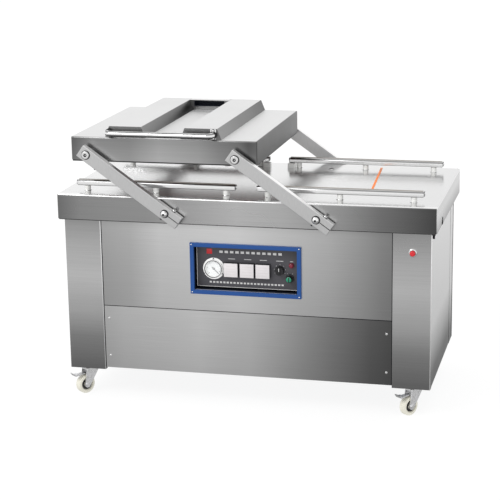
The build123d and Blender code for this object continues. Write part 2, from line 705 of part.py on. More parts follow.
def make_lid_handle():
    """Bent rod along the front of the lid, with two domed bolts below it."""
    z = LID_TOP_Z + 19
    centre_x = LID_CENTRE_X + HANDLE_OFFSET_X
    x0, x1 = centre_x - HANDLE_HALF_LENGTH, centre_x + HANDLE_HALF_LENGTH
    route = FilletPolyline(
        (x0, -CHANNEL_HALF_DEPTH, z), (x0, HANDLE_Y, z), (x1, HANDLE_Y, z), (x1, -CHANNEL_HALF_DEPTH, z),
        radius=HANDLE_BEND,
    )
    start = Plane(origin=(x0, -CHANNEL_HALF_DEPTH, z), z_dir=(0, -1, 0))
    rod = sweep(start * Circle(HANDLE_RADIUS), path=route)
    bolts = [dome_screw(x, -CHANNEL_HALF_DEPTH, LID_TOP_Z + 5.5, -1) for x in (x0 + 20, x1 - 20)]
    return [rod] + bolts


def make_lid_gasket():
    """Four straight rubber strips under the rim flange."""
    outer_x = LID_HALF_LENGTH - 4
    outer_y = LID_HALF_DEPTH - 1
    inner_x = outer_x - GASKET_WIDTH
    inner_y = outer_y - GASKET_WIDTH
    heights = (LID_RIM_Z - GASKET_HEIGHT, LID_RIM_Z)
    strips = []
    for side in (-1, 1):
        strips.append(
            block((LID_CENTRE_X - outer_x, LID_CENTRE_X + outer_x), (side * inner_y, side * outer_y), heights)
        )
        strips.append(
            block(
                (LID_CENTRE_X + side * inner_x, LID_CENTRE_X + side * outer_x), (-inner_y, inner_y), heights
            )
        )
    return strips


def make_pressure_pads():
    """Backing pads under the lid's top, above the sealing bars."""
    half_length = BAR_LENGTH / 2
    pads = []
    for row in (-1, 1):
        pads.append(
            block(
                (LID_CENTRE_X - half_length, LID_CENTRE_X + half_length),
                (row * BAR_Y - 14, row * BAR_Y + 14),
                (LID_RIM_Z + PAD_CLEARANCE, LID_TOP_Z - LID_SHEET),
            )
        )
    return pads


def make_lid_pins():
    """Pivot pins on the lid's front and rear faces: boss, journal and socket head."""
    pins = []
    arm_outer_y = ARM_INNER_Y + ARM_THICKNESS
    for side in (-1, 1):
        x = LID_CENTRE_X + side * SHAFT_X
        for row in (-1, 1):
            pin = rod_y(x, LID_PIVOT_Z, 14, (row * LID_HALF_DEPTH, row * (ARM_INNER_Y - 0.5)))
            head_y = row * (arm_outer_y + 0.5)
            pin += rod_y(x, LID_PIVOT_Z, PIN_RADIUS, (row * (LID_HALF_DEPTH + 1), head_y))
            head = rod_y(x, LID_PIVOT_Z, 15, (head_y, head_y + row * 7))
            head = fillet(head.faces().sort_by(Axis.Y)[-1 if row > 0 else 0].edges(), 2)
            pin += head - hex_socket_y(x, LID_PIVOT_Z, 12, (head_y + row * 3, head_y + row * 8))
            pins.append(pin)
    return pins


# --- casters ---

def caster_place(side, row):
    return Pos(side * CASTER_X, row * CASTER_Y, 0) * Rot(0, 0, CASTER_HEADING)


def make_caster_plates():
    plates = []
    for side in (-1, 1):
        for row in (-1, 1):
            x, y = side * CASTER_X, row * CASTER_Y
            plate = block((x - 47, x + 47), (y - 40, y + 40), (PILLAR_BOTTOM_Z - 4, PILLAR_BOTTOM_Z))
            plate += rod_z(x, y, 24, (PILLAR_BOTTOM_Z - 11.5, PILLAR_BOTTOM_Z - 4))
            plates.append(plate - rod_z(x, y, 6.4, (PILLAR_BOTTOM_Z - 12, PILLAR_BOTTOM_Z - 3)))
    return plates


def make_caster_fork(side, row, has_pedal):
    """Swivelling fork with its kingpin and axle bolt, and the pedal's pin where there is a brake."""
    crown_top = PILLAR_BOTTOM_Z - 12
    crown_bottom = crown_top - 8
    outer = FORK_INNER + FORK_SHEET
    fork = rod_z(0, 0, 23, (crown_bottom, crown_top))
    fork += block((-10, CASTER_TRAIL), (-outer, outer), (crown_bottom, crown_top))
    outline = [
        (-18, crown_top), (CASTER_TRAIL, crown_top), (CASTER_TRAIL + 13, 42),
        (CASTER_TRAIL, 25), (CASTER_TRAIL - 13, 34), (-20, crown_bottom),
    ]
    for leg in (-1, 1):
        leg_span = (leg * FORK_INNER, leg * outer)
        fork += profile_along_y(outline, leg_span)
        fork += rod_y(CASTER_TRAIL, WHEEL_RADIUS, 13, leg_span)
        fork += rod_y(CASTER_TRAIL, WHEEL_RADIUS, 7, (leg * outer, leg * (outer + 5)))
    fork += rod_y(CASTER_TRAIL, WHEEL_RADIUS, AXLE_RADIUS, (-outer, outer))
    fork += rod_z(0, 0, 6, (crown_top - 1, PILLAR_BOTTOM_Z - 5))
    if has_pedal:
        fork += rod_y(PEDAL_PIN_X, PEDAL_PIN_Z, 3, (-outer, outer))
    return [caster_place(side, row) * fork]


def make_caster_wheel(side, row):
    """Solid wheel with a dished hub on each face."""
    half = WHEEL_WIDTH / 2
    wheel = rod_y(CASTER_TRAIL, WHEEL_RADIUS, WHEEL_RADIUS, (-half, half))
    wheel = fillet(wheel.edges().filter_by(GeomType.CIRCLE), 5)
    for face in (-1, 1):
        wheel -= rod_y(CASTER_TRAIL, WHEEL_RADIUS, 26, (face * (half - 4), face * (half + 1)))
    wheel += rod_y(CASTER_TRAIL, WHEEL_RADIUS, 12, (-16, 16))
    wheel -= rod_y(CASTER_TRAIL, WHEEL_RADIUS, AXLE_RADIUS + 0.08, (-20, 20))
    return [caster_place(side, row) * wheel]


def make_brake_pedal(side):
    """Foot lever on the fork's cross pin, reaching out over the wheel."""
    pedal = rod_y(PEDAL_PIN_X, PEDAL_PIN_Z, 6.5, (-10, 10))
    pedal += block((PEDAL_PIN_X, 84), (-10, 10), (80.5, 84.5))
    pedal += block((68, 88), (-15, 15), (80.5, 85.5))
    pedal += profile_along_y([(82, 81), (88, 81), (96, 92), (92, 93)], (-15, 15))
    pedal -= rod_y(PEDAL_PIN_X, PEDAL_PIN_Z, 3.08, (-20, 20))
    return [caster_place(side, -1) * pedal]


# --- machinery inside the cabinet ---

MACHINE_FLOOR_Z = LOWER_RAIL_Z + TUBE + FLOOR_PLATE
PUMP_X = -330
PUMP_Z = MACHINE_FLOOR_Z + 145
MOTOR_RADIUS = 78
PIPE_RADIUS = 13
PIPE_BORE = 10


def make_vacuum_pump():
    """Oil-sealed rotary pump: ribbed cylinder body, oil box with filler and a foot plate."""
    floor = MACHINE_FLOOR_Z
    foot = block((PUMP_X - 170, PUMP_X + 110), (-95, 95), (floor, floor + 12))
    body = rod_x(0, PUMP_Z, 85, (PUMP_X - 20, PUMP_X + 110))
    for index in range(5):
        x = PUMP_X - 5 + index * 25
        body += rod_x(0, PUMP_Z, 92, (x, x + 6))
    oil_box = block((PUMP_X - 180, PUMP_X - 20), (-90, 90), (floor + 25, floor + 255))
    oil_box = fillet(oil_box.edges().filter_by(Axis.Y), 12)
    oil_box -= block((PUMP_X - 172, PUMP_X - 28), (-82, 91), (floor + 33, floor + 247))
    cover = block((PUMP_X - 175, PUMP_X - 25), (91, 99), (floor + 30, floor + 250))
    saddles = [
        block((x - 10, x + 10), (-70, 70), (floor + 12, floor + 80)) for x in (PUMP_X + 10, PUMP_X + 80)
    ]
    inlet = rod_z(PUMP_X + 45, 0, 22, (PUMP_Z + 70, PUMP_Z + 125))
    pump = body + saddles[0] + saddles[1] + foot + inlet + oil_box
    pump += block((PUMP_X - 165, PUMP_X - 40), (-80, 80), (floor + 10, floor + 27))
    pump -= rod_x(0, PUMP_Z, 60, (PUMP_X - 10, PUMP_X + 100))
    return [pump, cover]


def make_pump_motor():
    """Finned motor on the pump's shaft end, with a fan cover and a terminal box."""
    start_x = PUMP_X + 110.5
    motor = rod_x(0, PUMP_Z, 92, (start_x, start_x + 12))
    motor += rod_x(0, PUMP_Z, MOTOR_RADIUS - 10, (start_x, start_x + 220))
    for index in range(24):
        if index in (17, 18, 19):
            continue
        fin = block((start_x + 20, start_x + 190), (-1.5, 1.5), (0, MOTOR_RADIUS))
        motor += Pos(0, 0, PUMP_Z) * Rot(index * 15, 0, 0) * fin
    motor += rod_x(0, PUMP_Z, MOTOR_RADIUS + 4, (start_x + 195, start_x + 250))
    motor -= rod_x(0, PUMP_Z, MOTOR_RADIUS, (start_x + 222, start_x + 247))
    motor += block((start_x + 60, start_x + 150), (-45, 45), (PUMP_Z + 50, PUMP_Z + 110))
    motor -= rod_x(0, PUMP_Z, 45, (start_x + 25, start_x + 190))
    feet = block((start_x + 60, start_x + 150), (-80, 80), (MACHINE_FLOOR_Z, MACHINE_FLOOR_Z + 12))
    web = block((start_x + 80, start_x + 130), (-55, 55), (MACHINE_FLOOR_Z + 10, PUMP_Z - 60))
    return [motor + feet + web]


def pipe(points, bend):
    """Round pipe along straight runs joined by equal bends."""
    route = FilletPolyline(*points, radius=bend)
    first, second = Vector(*points[0]), Vector(*points[1])
    section = Plane(origin=points[0], z_dir=second - first) * (Circle(PIPE_RADIUS) - Circle(PIPE_BORE))
    return sweep(section, path=route)


def make_vacuum_piping():
    """Suction pipe from the pump to a valve block, and a branch up to the port under each chamber."""
    inlet_x = PUMP_X + 45
    top_z = TABLE_TOP_Z - TOP_SHEET
    block_z = 560
    riser = pipe([(inlet_x, 0, PUMP_Z + 125), (inlet_x, 0, block_z), (-60, 0, block_z)], 40)
    branches = [
        pipe(
            [
                (side * 30, 30, block_z), (side * 30, 140, block_z),
                (side * 200, 140, block_z), (side * SUCTION_HOLE_X, SUCTION_HOLE_Y, block_z + 40),
                (side * SUCTION_HOLE_X, SUCTION_HOLE_Y, top_z),
            ],
            16,
        )
        for side in (-1, 1)
    ]
    return [riser] + branches


def make_solenoid_valves():
    """Valve block with two solenoid coils on top."""
    body = block((-60, 60), (-30, 30), (540, 580))
    valves = body
    for x in (-30, 30):
        valves += rod_z(x, 0, 9, (579, 590))
        valves += block((x - 20, x + 20), (-20, 20), (589, 640))
    bracket = block((-62, 62), (-34, -30), (540, 580))
    return [valves + bracket]


def make_transformer():
    """Sealing transformer: laminated core on a foot plate, with a winding round its middle leg."""
    x, z0 = 420, MACHINE_FLOOR_Z
    core = block((x - 75, x + 75), (-35, 35), (z0 + 6, z0 + 136))
    core += block((x - 85, x + 85), (-55, 55), (z0, z0 + 7))
    winding = block((x - 38, x + 38), (-58, 58), (z0 + 34, z0 + 108))
    winding = fillet(winding.edges().filter_by(Axis.Z), 12)
    return [core + winding]


def make_electrical_tray():
    """Mounting plate with a rail, three contactors and a terminal row."""
    x0, x1, y = 250, 590, 200
    z0 = MACHINE_FLOOR_Z
    tray = block((x0, x1), (y, y + 3), (z0 + 20, z0 + 320))
    tray += block((x0, x1), (y - 30, y + 3), (z0, z0 + 20))
    tray += block((x0 + 15, x1 - 15), (y - 8, y + 1), (z0 + 190, z0 + 225))
    for index in range(3):
        left = x0 + 30 + index * 60
        tray += block((left, left + 45), (y - 80, y - 7), (z0 + 165, z0 + 250))
    for index in range(10):
        left = x0 + 30 + index * 26
        tray += block((left, left + 20), (y - 35, y + 1), (z0 + 70, z0 + 110))
    return [tray]


def machine_nodes():
    """Every node of the machine by name, each as a list of separate solids."""
    nodes = {
        "worktable": make_worktable(),
        "bar_cylinders": make_bar_cylinders(),
        "terminal_blocks": make_terminal_blocks(),
        "base_frame": make_base_frame(),
        "corner_pillars": make_corner_pillars(),
        "front_upper_panel": make_front_upper_panel(),
        "front_lower_panel": make_front_lower_panel(),
        "rear_panel": make_rear_panel(),
        "side_panels": make_side_panels(),
        "panel_screws": make_panel_screws(),
        "cable_gland": make_cable_gland(),
        "control_bezel": make_control_bezel(),
        "control_housing": make_control_housing(),
        "control_plate": make_control_plate(),
        "gauge_case": make_gauge_case(),
        "gauge_needle": make_gauge_needle(),
        "timer_modules": make_timer_modules(),
        "switch_collars": make_switch_collars(),
        "power_lamp": make_power_lamp(),
        "heat_knob": make_heat_knob(),
        "power_knob": make_power_knob(),
        "stop_button": make_stop_button(),
        "shaft_bearings": make_shaft_bearings(),
        "lid_shell": make_lid_shell(),
        "lid_channels": make_lid_channels(),
        "lid_crosspiece": make_lid_crosspiece(),
        "lid_handle": make_lid_handle(),
        "lid_gasket": make_lid_gasket(),
        "pressure_pads": make_pressure_pads(),
        "lid_pins": make_lid_pins(),
        "caster_plates": make_caster_plates(),
        "vacuum_pump": make_vacuum_pump(),
        "pump_motor": make_pump_motor(),
        "vacuum_piping": make_vacuum_piping(),
        "solenoid_valves": make_solenoid_valves(),
        "transformer": make_transformer(),
        "electrical_tray": make_electrical_tray(),
    }
    for side, side_name in ((-1, "left"), (1, "right")):
        nodes[f"swing_shaft_{side_name}"] = make_swing_shaft(side)
        nodes[f"clamp_bolts_{side_name}"] = make_clamp_bolts(side)
        nodes[f"brake_pedal_{side_name}"] = make_brake_pedal(side)
        for row, row_name in ((-1, "front"), (1, "rear")):
            nodes[f"arm_{row_name}_{side_name}"] = make_arm(side, row)
            nodes[f"seal_bar_{row_name}_{side_name}"] = make_seal_bar(side * BAR_CENTRE_X, row * BAR_Y)
            nodes[f"caster_fork_{row_name}_{side_name}"] = make_caster_fork(side, row, row < 0)
            nodes[f"caster_wheel_{row_name}_{side_name}"] = make_caster_wheel(side, row)
    return nodes


def main():
    os.makedirs("parts", exist_ok=True)
    for name, shapes in machine_nodes().items():
        solids = [solid for shape in shapes for solid in shape.solids()]
        export_step(Compound(solids), f"parts/{name}.step")


main()
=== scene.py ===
import math

import bmesh
import bpy
from mathutils import Matrix, Vector


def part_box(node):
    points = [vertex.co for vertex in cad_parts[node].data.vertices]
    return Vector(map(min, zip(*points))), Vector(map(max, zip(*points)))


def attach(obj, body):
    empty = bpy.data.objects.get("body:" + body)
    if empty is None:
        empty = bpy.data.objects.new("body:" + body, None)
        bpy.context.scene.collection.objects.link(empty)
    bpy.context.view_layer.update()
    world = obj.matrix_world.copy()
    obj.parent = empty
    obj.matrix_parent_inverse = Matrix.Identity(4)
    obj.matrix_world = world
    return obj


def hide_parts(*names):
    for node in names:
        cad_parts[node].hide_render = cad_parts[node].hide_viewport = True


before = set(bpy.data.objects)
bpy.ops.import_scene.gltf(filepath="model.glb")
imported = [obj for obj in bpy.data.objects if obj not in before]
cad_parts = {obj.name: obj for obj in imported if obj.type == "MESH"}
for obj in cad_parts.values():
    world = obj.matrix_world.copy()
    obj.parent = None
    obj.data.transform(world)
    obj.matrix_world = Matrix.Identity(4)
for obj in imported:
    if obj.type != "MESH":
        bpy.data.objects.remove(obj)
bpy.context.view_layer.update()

# Metres. X runs along the table, Y from front to rear, Z up, as in the CAD frame.

CAMERA_PLACE = Vector((1.4135, -5.9388, 2.1034))
CAMERA_YAW = 0.24365
CAMERA_PITCH = 0.25007
CAMERA_ROLL = -0.01546
CAMERA_LENS = 112.16

UP = Vector((0, 0, 1))
FORWARD = Vector((0, -1, 0))
SIDES = {"left": -1, "right": 1}
ROWS = {"front": -1, "rear": 1}


# ---------------------------------------------------------------- materials

class Shader:
    """A node material around one Principled shader."""

    def __init__(self, name, color=(0.8, 0.8, 0.8), roughness=0.5, metallic=0.0, **constants):
        self.material = bpy.data.materials.new(name)
        self.material.use_nodes = True
        self.tree = self.material.node_tree
        self.principled = self.tree.nodes["Principled BSDF"]
        self.set("Base Color", (*color, 1.0))
        self.set("Roughness", roughness)
        self.set("Metallic", metallic)
        for socket, value in constants.items():
            self.set(socket.replace("_", " "), value)
        self.place = self.add("ShaderNodeTexCoord").outputs["Object"]

    def set(self, socket, value):
        self.principled.inputs[socket].default_value = value

    def add(self, kind, settings=None, **inputs):
        node = self.tree.nodes.new(kind)
        for key, value in (settings or {}).items():
            setattr(node, key, value)
        for key, value in inputs.items():
            self.feed(node.inputs[key.replace("_", " ")], value)
        return node

    def feed(self, socket, value):
        if isinstance(value, bpy.types.NodeSocket):
            self.tree.links.new(value, socket)
        else:
            socket.default_value = value

    def scaled(self, scale):
        """Object coordinates, stretched by a scale along each axis."""
        node = self.add("ShaderNodeMapping", Vector=self.place)
        node.inputs["Scale"].default_value = scale
        return node.outputs["Vector"]

    def noise(self, scale, detail=3.0, vector=None, rough=0.5):
        node = self.add(
            "ShaderNodeTexNoise", Vector=vector or self.place, Scale=scale, Detail=detail, Roughness=rough,
        )
        return node.outputs["Fac"]

    def ramp(self, factor, stops):
        """A colour ramp whose stops are (position, grey or colour)."""
        node = self.add("ShaderNodeValToRGB", Fac=factor)
        elements = node.color_ramp.elements
        while len(elements) < len(stops):
            elements.new(0.5)
        for element, (position, value) in zip(elements, stops):
            element.position = position
            element.color = (value, value, value, 1) if isinstance(value, float) else (*value, 1)
        return node.outputs["Color"]

    def spread(self, value, low, high, to_low=0.0, to_high=1.0):
        """A value mapped from one range to another, clamped."""
        node = self.add("ShaderNodeMapRange", Value=value)
        node.inputs["From Min"].default_value = low
        node.inputs["From Max"].default_value = high
        node.inputs["To Min"].default_value = to_low
        node.inputs["To Max"].default_value = to_high
        return node.outputs["Result"]

    def mix(self, factor, first, second, blend="MIX"):
        node = self.add("ShaderNodeMix", {"data_type": "RGBA", "blend_type": blend})
        self.feed(node.inputs[0], factor)
        self.feed(node.inputs[6], first if isinstance(first, bpy.types.NodeSocket) else (*first, 1))
        self.feed(node.inputs[7], second if isinstance(second, bpy.types.NodeSocket) else (*second, 1))
        return node.outputs[2]

    def axis(self, vector, letter):
        return self.add("ShaderNodeSeparateXYZ", Vector=vector).outputs[letter]

    def link(self, socket, value):
        self.feed(self.principled.inputs[socket], value)

    def bump(self, height, distance, strength=1.0):
        node = self.add("ShaderNodeBump", Height=height, Strength=strength, Distance=distance)
        self.link("Normal", node.outputs["Normal"])


def profile_factor(shader, letter, stops):
    """A grey factor that follows (coordinate, factor) stops along one axis, and the largest factor."""
    low, high = stops[0][0], stops[-1][0]
    peak = max(factor for _, factor in stops)
    along = shader.spread(shader.axis(shader.place, letter), low, high)
    scaled = [((at - low) / (high - low), float(factor / peak)) for at, factor in stops]
    return shader.ramp(along, scaled), peak


def steel(name, tone, top=None, roughness=0.3, top_roughness=None, grain=(4, 900, 900),
          along=None, up=None, side=None, side_up=None, side_deep=None, top_along=None, top_deep=None,
          top_from=0.75):
    """Brushed stainless sheet with painted reflections and painted shade: its tone differs between upright, end and
    upward faces.

    along and up are (coordinate, factor) stops over X and Z for the upright faces. side is the tone of faces that
    look along +X, with stops over Z in side_up and over Y in side_deep. top is the tone of faces that look up, with
    stops over X in top_along and over Y in top_deep. These stops and face tones are painted reflections and painted
    shade; the grain streaks and clouds are the sheet's own."""
    shader = Shader(name, metallic=1.0)
    streaks = shader.noise(1.0, 4.0, shader.scaled(grain))
    clouds = shader.noise(3.5, 2.0)
    normal = shader.add("ShaderNodeNewGeometry").outputs["Normal"]
    peak = 1.0
    factors = []
    # Painted reflections and shade: stops along X and Z lighten and darken the upright faces.
    for letter, stops in (("X", along), ("Z", up)):
        if stops:
            factor, stop_peak = profile_factor(shader, letter, stops)
            factors.append(factor)
            peak *= stop_peak
    upright = shader.ramp(streaks, [(0.3, tone * peak * 0.94), (0.7, min(1.0, tone * peak * 1.05))])
    for factor in factors:
        upright = shader.mix(1.0, upright, factor, "MULTIPLY")
    # Painted shade: faces that look along +X take their own tone, with stops over Z and Y.
    if side:
        end = shader.ramp(streaks, [(0.3, side * 0.95), (0.7, side * 1.04)])
        for letter, stops in (("Z", side_up), ("Y", side_deep)):
            if stops:
                factor, _ = profile_factor(shader, letter, stops)
                end = shader.mix(1.0, end, factor, "MULTIPLY")
        is_end = shader.spread(shader.axis(normal, "X"), 0.5, 0.8)
        upright = shader.mix(is_end, upright, end)
    # Painted light: faces that look up take their own tone, mostly lighter, with stops over X and Y.
    top = top or tone
    flat = shader.ramp(clouds, [(0.3, top * 0.97), (0.7, top)])
    for letter, stops in (("X", top_along), ("Y", top_deep)):
        if stops:
            factor, _ = profile_factor(shader, letter, stops)
            flat = shader.mix(1.0, flat, factor, "MULTIPLY")
    is_top = shader.spread(shader.axis(normal, "Z"), top_from, top_from + 0.2)
    shader.link("Base Color", shader.mix(is_top, upright, flat))
    blotches = shader.spread(clouds, 0.3, 0.7, roughness - 0.03, roughness + 0.04)
    blend = shader.add("ShaderNodeMix", {"data_type": "FLOAT"})
    shader.feed(blend.inputs[0], is_top)
    shader.feed(blend.inputs[2], blotches)
    blend.inputs[3].default_value = top_roughness or roughness
    shader.link("Roughness", blend.outputs[0])
    shader.bump(streaks, 0.00004, 0.35)
    return shader.material


def painted_reflection_metal(name, stops, roughness=0.12):
    """Polished rod or bar with painted reflections: its tone follows how far each face looks up or down."""
    shader = Shader(name, metallic=1.0)
    facing = shader.axis(shader.add("ShaderNodeNewGeometry").outputs["Normal"], "Z")
    shader.link("Base Color", shader.ramp(shader.spread(facing, -1, 1), [((z + 1) / 2, float(v)) for z, v in stops]))
    haze = shader.noise(60.0, 3.0)
    shader.link("Roughness", shader.spread(haze, 0.3, 0.7, roughness, roughness + 0.06))
    return shader.material


def chrome(name, tone=0.86, roughness=0.08):
    shader = Shader(name, metallic=1.0)
    haze = shader.noise(60.0, 3.0)
    shader.link("Base Color", shader.ramp(haze, [(0.3, tone * 0.96), (0.7, tone)]))
    shader.link("Roughness", shader.spread(haze, 0.3, 0.7, roughness, roughness + 0.06))
    return shader.material


def zinc(name, tone=0.62):
    """Bright zinc-plated pressed steel, with faint spangle."""
    shader = Shader(name, metallic=1.0)
    cells = shader.add("ShaderNodeTexVoronoi", Vector=shader.place, Scale=160.0).outputs["Color"]
    grey = shader.axis(cells, "X")
    shader.link("Base Color", shader.ramp(grey, [(0.0, (tone * 0.86,) * 3), (1.0, (tone, tone, tone * 1.02))]))
    shader.link("Roughness", shader.spread(grey, 0.0, 1.0, 0.24, 0.36))
    return shader.material


def moulded(name, color, roughness=0.45, grain=0.00003, variation=0.08, **constants):
    """Moulded plastic or rubber with a fine surface grain."""
    shader = Shader(name, color, roughness, **constants)
    patch = shader.noise(14.0, 2.0)
    dark = tuple(c * (1 - variation) for c in color)
    light = tuple(min(1.0, c * (1 + variation * 0.5)) for c in color)
    shader.link("Base Color", shader.ramp(patch, [(0.3, dark), (0.7, light)]))
    speckle = shader.noise(900.0, 2.0)
    shader.link("Roughness", shader.spread(speckle, 0.3, 0.7, roughness - 0.05, roughness + 0.05))
    shader.bump(speckle, grain, 0.5)
    return shader.material


def painted(name, color, roughness=0.35, coat=0.2):
    """Paint with a slight orange-peel surface."""
    shader = Shader(name, color, roughness, Coat_Weight=coat, Coat_Roughness=0.15)
    patch = shader.noise(9.0, 2.0)
    dark = tuple(c * 0.9 for c in color)
    shader.link("Base Color", shader.ramp(patch, [(0.3, dark), (0.7, color)]))
    peel = shader.noise(420.0, 2.0)
    shader.link("Roughness", shader.spread(peel, 0.3, 0.7, roughness - 0.04, roughness + 0.06))
    shader.bump(peel, 0.00004, 0.4)
    return shader.material


def cast_metal(name, color, roughness=0.6):
    """Sand-cast metal under paint: coarse grain."""
    shader = Shader(name, color, roughness)
    grain = shader.noise(260.0, 4.0)
    shader.link("Base Color", shader.ramp(grain, [(0.3, tuple(c * 0.8 for c in color)), (0.7, color)]))
    shader.link("Roughness", shader.spread(grain, 0.3, 0.7, roughness - 0.1, roughness + 0.1))
    shader.bump(grain, 0.0003, 0.6)
    return shader.material


def clear_lens(name):
    shader = Shader(name, (0.95, 0.97, 0.97), 0.05, Alpha=0.10, IOR=1.45)
    smear = shader.noise(30.0, 2.0)
    shader.link("Roughness", shader.spread(smear, 0.3, 0.7, 0.03, 0.09))
    return shader.material


# Painted reflection tones of polished round metal, over the upward part of each face's normal.
ROD_REFLECTION_BANDS = (
    (-1, 0.30), (-0.75, 0.10), (-0.45, 0.12), (-0.2, 0.85), (0.3, 0.95), (0.5, 0.55),
    (0.68, 0.16), (0.85, 0.30), (1, 0.75),
)
BAR_REFLECTION_BANDS = (
    (-1, 0.10), (-0.6, 0.08), (-0.15, 0.75), (0.2, 0.88), (0.45, 0.35), (0.7, 0.20), (0.92, 0.62), (1, 0.80),
)

# Painted shade: the cabinet's ends darken towards the floor.
END_PAINTED_SHADE = ((0.12, 0.09), (0.17, 0.13), (0.27, 0.60), (0.36, 0.95), (0.7, 1.0))

# Painted light in the steel tones below: the stops along X, Y and Z and the separate end and top tones are painted
# reflections and painted shade, such as the table's brighter front edge band, the darker right ends, the pillars'
# shade under the skirt and towards the floor, the lid's dark right side, the dark fronts of the channels and bridge
# and the lighter tops of the arms.
MATERIALS = {
    "table": steel(
        "stainless_table", 0.52, 0.98, 0.28, 0.18, side=0.88, side_up=((0.73, 0.52), (0.79, 1.0)), top_from=0.4,
        top_along=((-0.74, 1.0), (0.2, 0.97), (0.5, 0.92), (0.74, 0.88)),
        top_deep=((-0.374, 1.0), (-0.358, 1.0), (-0.355, 0.86), (0.375, 0.86)),
        along=((-0.74, 0.40), (-0.646, 0.63), (-0.529, 0.69), (-0.38, 0.72), (-0.176, 0.97), (-0.02, 1.19),
               (0.157, 1.08), (0.391, 0.73), (0.528, 0.43), (0.646, 0.28), (0.74, 0.16)),
    ),
    "pillar": steel(
        "stainless_pillar", 0.50, side=0.95, side_up=END_PAINTED_SHADE,
        along=((-0.72, 1.0), (0.72, 0.96)),
        up=((0.12, 0.40), (0.25, 0.64), (0.35, 1.05), (0.5, 1.4), (0.62, 1.15), (0.72, 0.82)),
    ),
    "upper_panel": steel(
        "stainless_upper_panel", 0.60, up=((0.38, 0.88), (0.70, 1.0), (0.745, 0.85)),
        along=((-0.573, 0.85), (-0.455, 0.98), (-0.337, 1.3), (-0.022, 1.41), (0.333, 0.98), (0.45, 0.74),
               (0.53, 0.56), (0.573, 0.50)),
    ),
    "lower_panel": steel(
        "stainless_lower_panel", 0.60, up=((0.12, 0.85), (0.38, 1.0)),
        along=((-0.573, 1.0), (-0.494, 1.12), (-0.179, 1.32), (0.018, 1.15), (0.215, 0.72), (0.35, 0.47),
               (0.49, 0.26), (0.573, 0.2)),
    ),
    "rear": steel("stainless_rear", 0.55, roughness=0.32, side=0.95, side_up=END_PAINTED_SHADE),
    "lid": steel(
        "stainless_lid", 0.42, 0.80, 0.30, 0.50, side=0.13, side_deep=((-0.36, 0.42), (0.1, 0.46), (0.36, 0.62)),
        along=((-0.676, 0.40), (-0.59, 0.84), (-0.441, 0.84), (-0.324, 1.17), (-0.167, 0.98), (-0.089, 0.72),
               (-0.03, 0.60), (0.028, 0.34), (0.06, 0.45)),
        up=((0.965, 1.12), (1.04, 0.88)),
    ),
    "channel": steel("stainless_channel", 0.20, 0.78, 0.30, 0.45, side=0.24, side_deep=((-0.36, 0.92), (0.36, 0.26))),
    "bridge": steel("stainless_bridge", 0.22, 0.82, 0.30, 0.30),
    "arm": steel("arm_steel", 0.68, 0.97, 0.34, grain=(500, 500, 40), top_from=0.55),
    "chrome": chrome("chrome"),
    "rod": painted_reflection_metal("polished_rod", ROD_REFLECTION_BANDS),
    "bar": painted_reflection_metal("bar_aluminium", BAR_REFLECTION_BANDS, 0.16),
    # Painted highlight: this near-white metal marks the pillars' edges.
    "bright": chrome("painted_highlight_edge", 0.97, 0.3),
    "zinc": zinc("zinc_plate", 0.92),
    "frame": painted("frame_paint", (0.30, 0.31, 0.33)),
    "aluminium": steel("plain_aluminium", 0.74, 0.86, 0.22, grain=(3, 700, 700)),
    "tape": moulded("ptfe_tape", (0.30, 0.28, 0.25), 0.35),
    "white": moulded("white_plastic", (0.88, 0.88, 0.86), 0.4),
    # Painted light: the gauge case and the dial face glow faintly, though neither is a lamp.
    "ring": moulded("white_ring_painted_glow", (0.93, 0.93, 0.92), 0.3, Emission_Color=(1, 1, 1, 1), Emission_Strength=0.10),
    "face": moulded("dial_face_painted_glow", (0.86, 0.87, 0.87), 0.5, Emission_Color=(1, 1, 1, 1), Emission_Strength=0.10),
    "tile": moulded("timer_face", (0.70, 0.67, 0.68), 0.5),
    "cream": moulded("cream_nylon", (0.78, 0.76, 0.66), 0.38, variation=0.12),
    "black": moulded("black_plastic", (0.010, 0.010, 0.012), 0.32),
    # Near-black with little gloss: painted shade in the sockets of the pins and shaft caps, the clamp slits and the
    # gaps at the pillars; also the dark panel seam and the bolt and clip under the skirt.
    "hole": moulded("dark_recess", (0.004, 0.004, 0.006), 0.9, Specular_IOR_Level=0.1),
    # Painted shade: this near-black navy stands in for the shade inside the control recess and the bridge's slot.
    "navy": painted("navy_painted_shade", (0.006, 0.010, 0.024), 0.7, 0.0),
    "blue": painted("blue_bezel", (0.0004, 0.060, 0.26), 0.5, 0.0),
    "plate": painted("instrument_plate", (0.070, 0.068, 0.078), 0.55, 0.0),
    "mark": moulded("label_mark", (0.66, 0.66, 0.66), 0.5),
    "faint": moulded("faint_mark", (0.62, 0.58, 0.58), 0.5),
    "red": moulded("red_plastic", (0.62, 0.010, 0.018), 0.25, Coat_Weight=0.3),
    "lamp": moulded("lamp_lens", (0.20, 0.010, 0.030), 0.2, Coat_Weight=0.5),
    "green": moulded("green_plastic", (0.006, 0.24, 0.13), 0.28, Coat_Weight=0.3),
    "orange": moulded("orange_silicone", (0.95, 0.22, 0.01), 0.45),
    "rubber": moulded("black_rubber", (0.02, 0.02, 0.02), 0.7),
    "silicone": moulded("pad_silicone", (0.42, 0.10, 0.07), 0.6),
    "cast": cast_metal("cast_housing", (0.13, 0.14, 0.15)),
    "machine": painted("machine_grey", (0.16, 0.19, 0.22)),
    "motor": painted("motor_blue", (0.10, 0.17, 0.26)),
    "brass": chrome("brass", 0.6, 0.25),
    "lens": clear_lens("gauge_lens"),
}

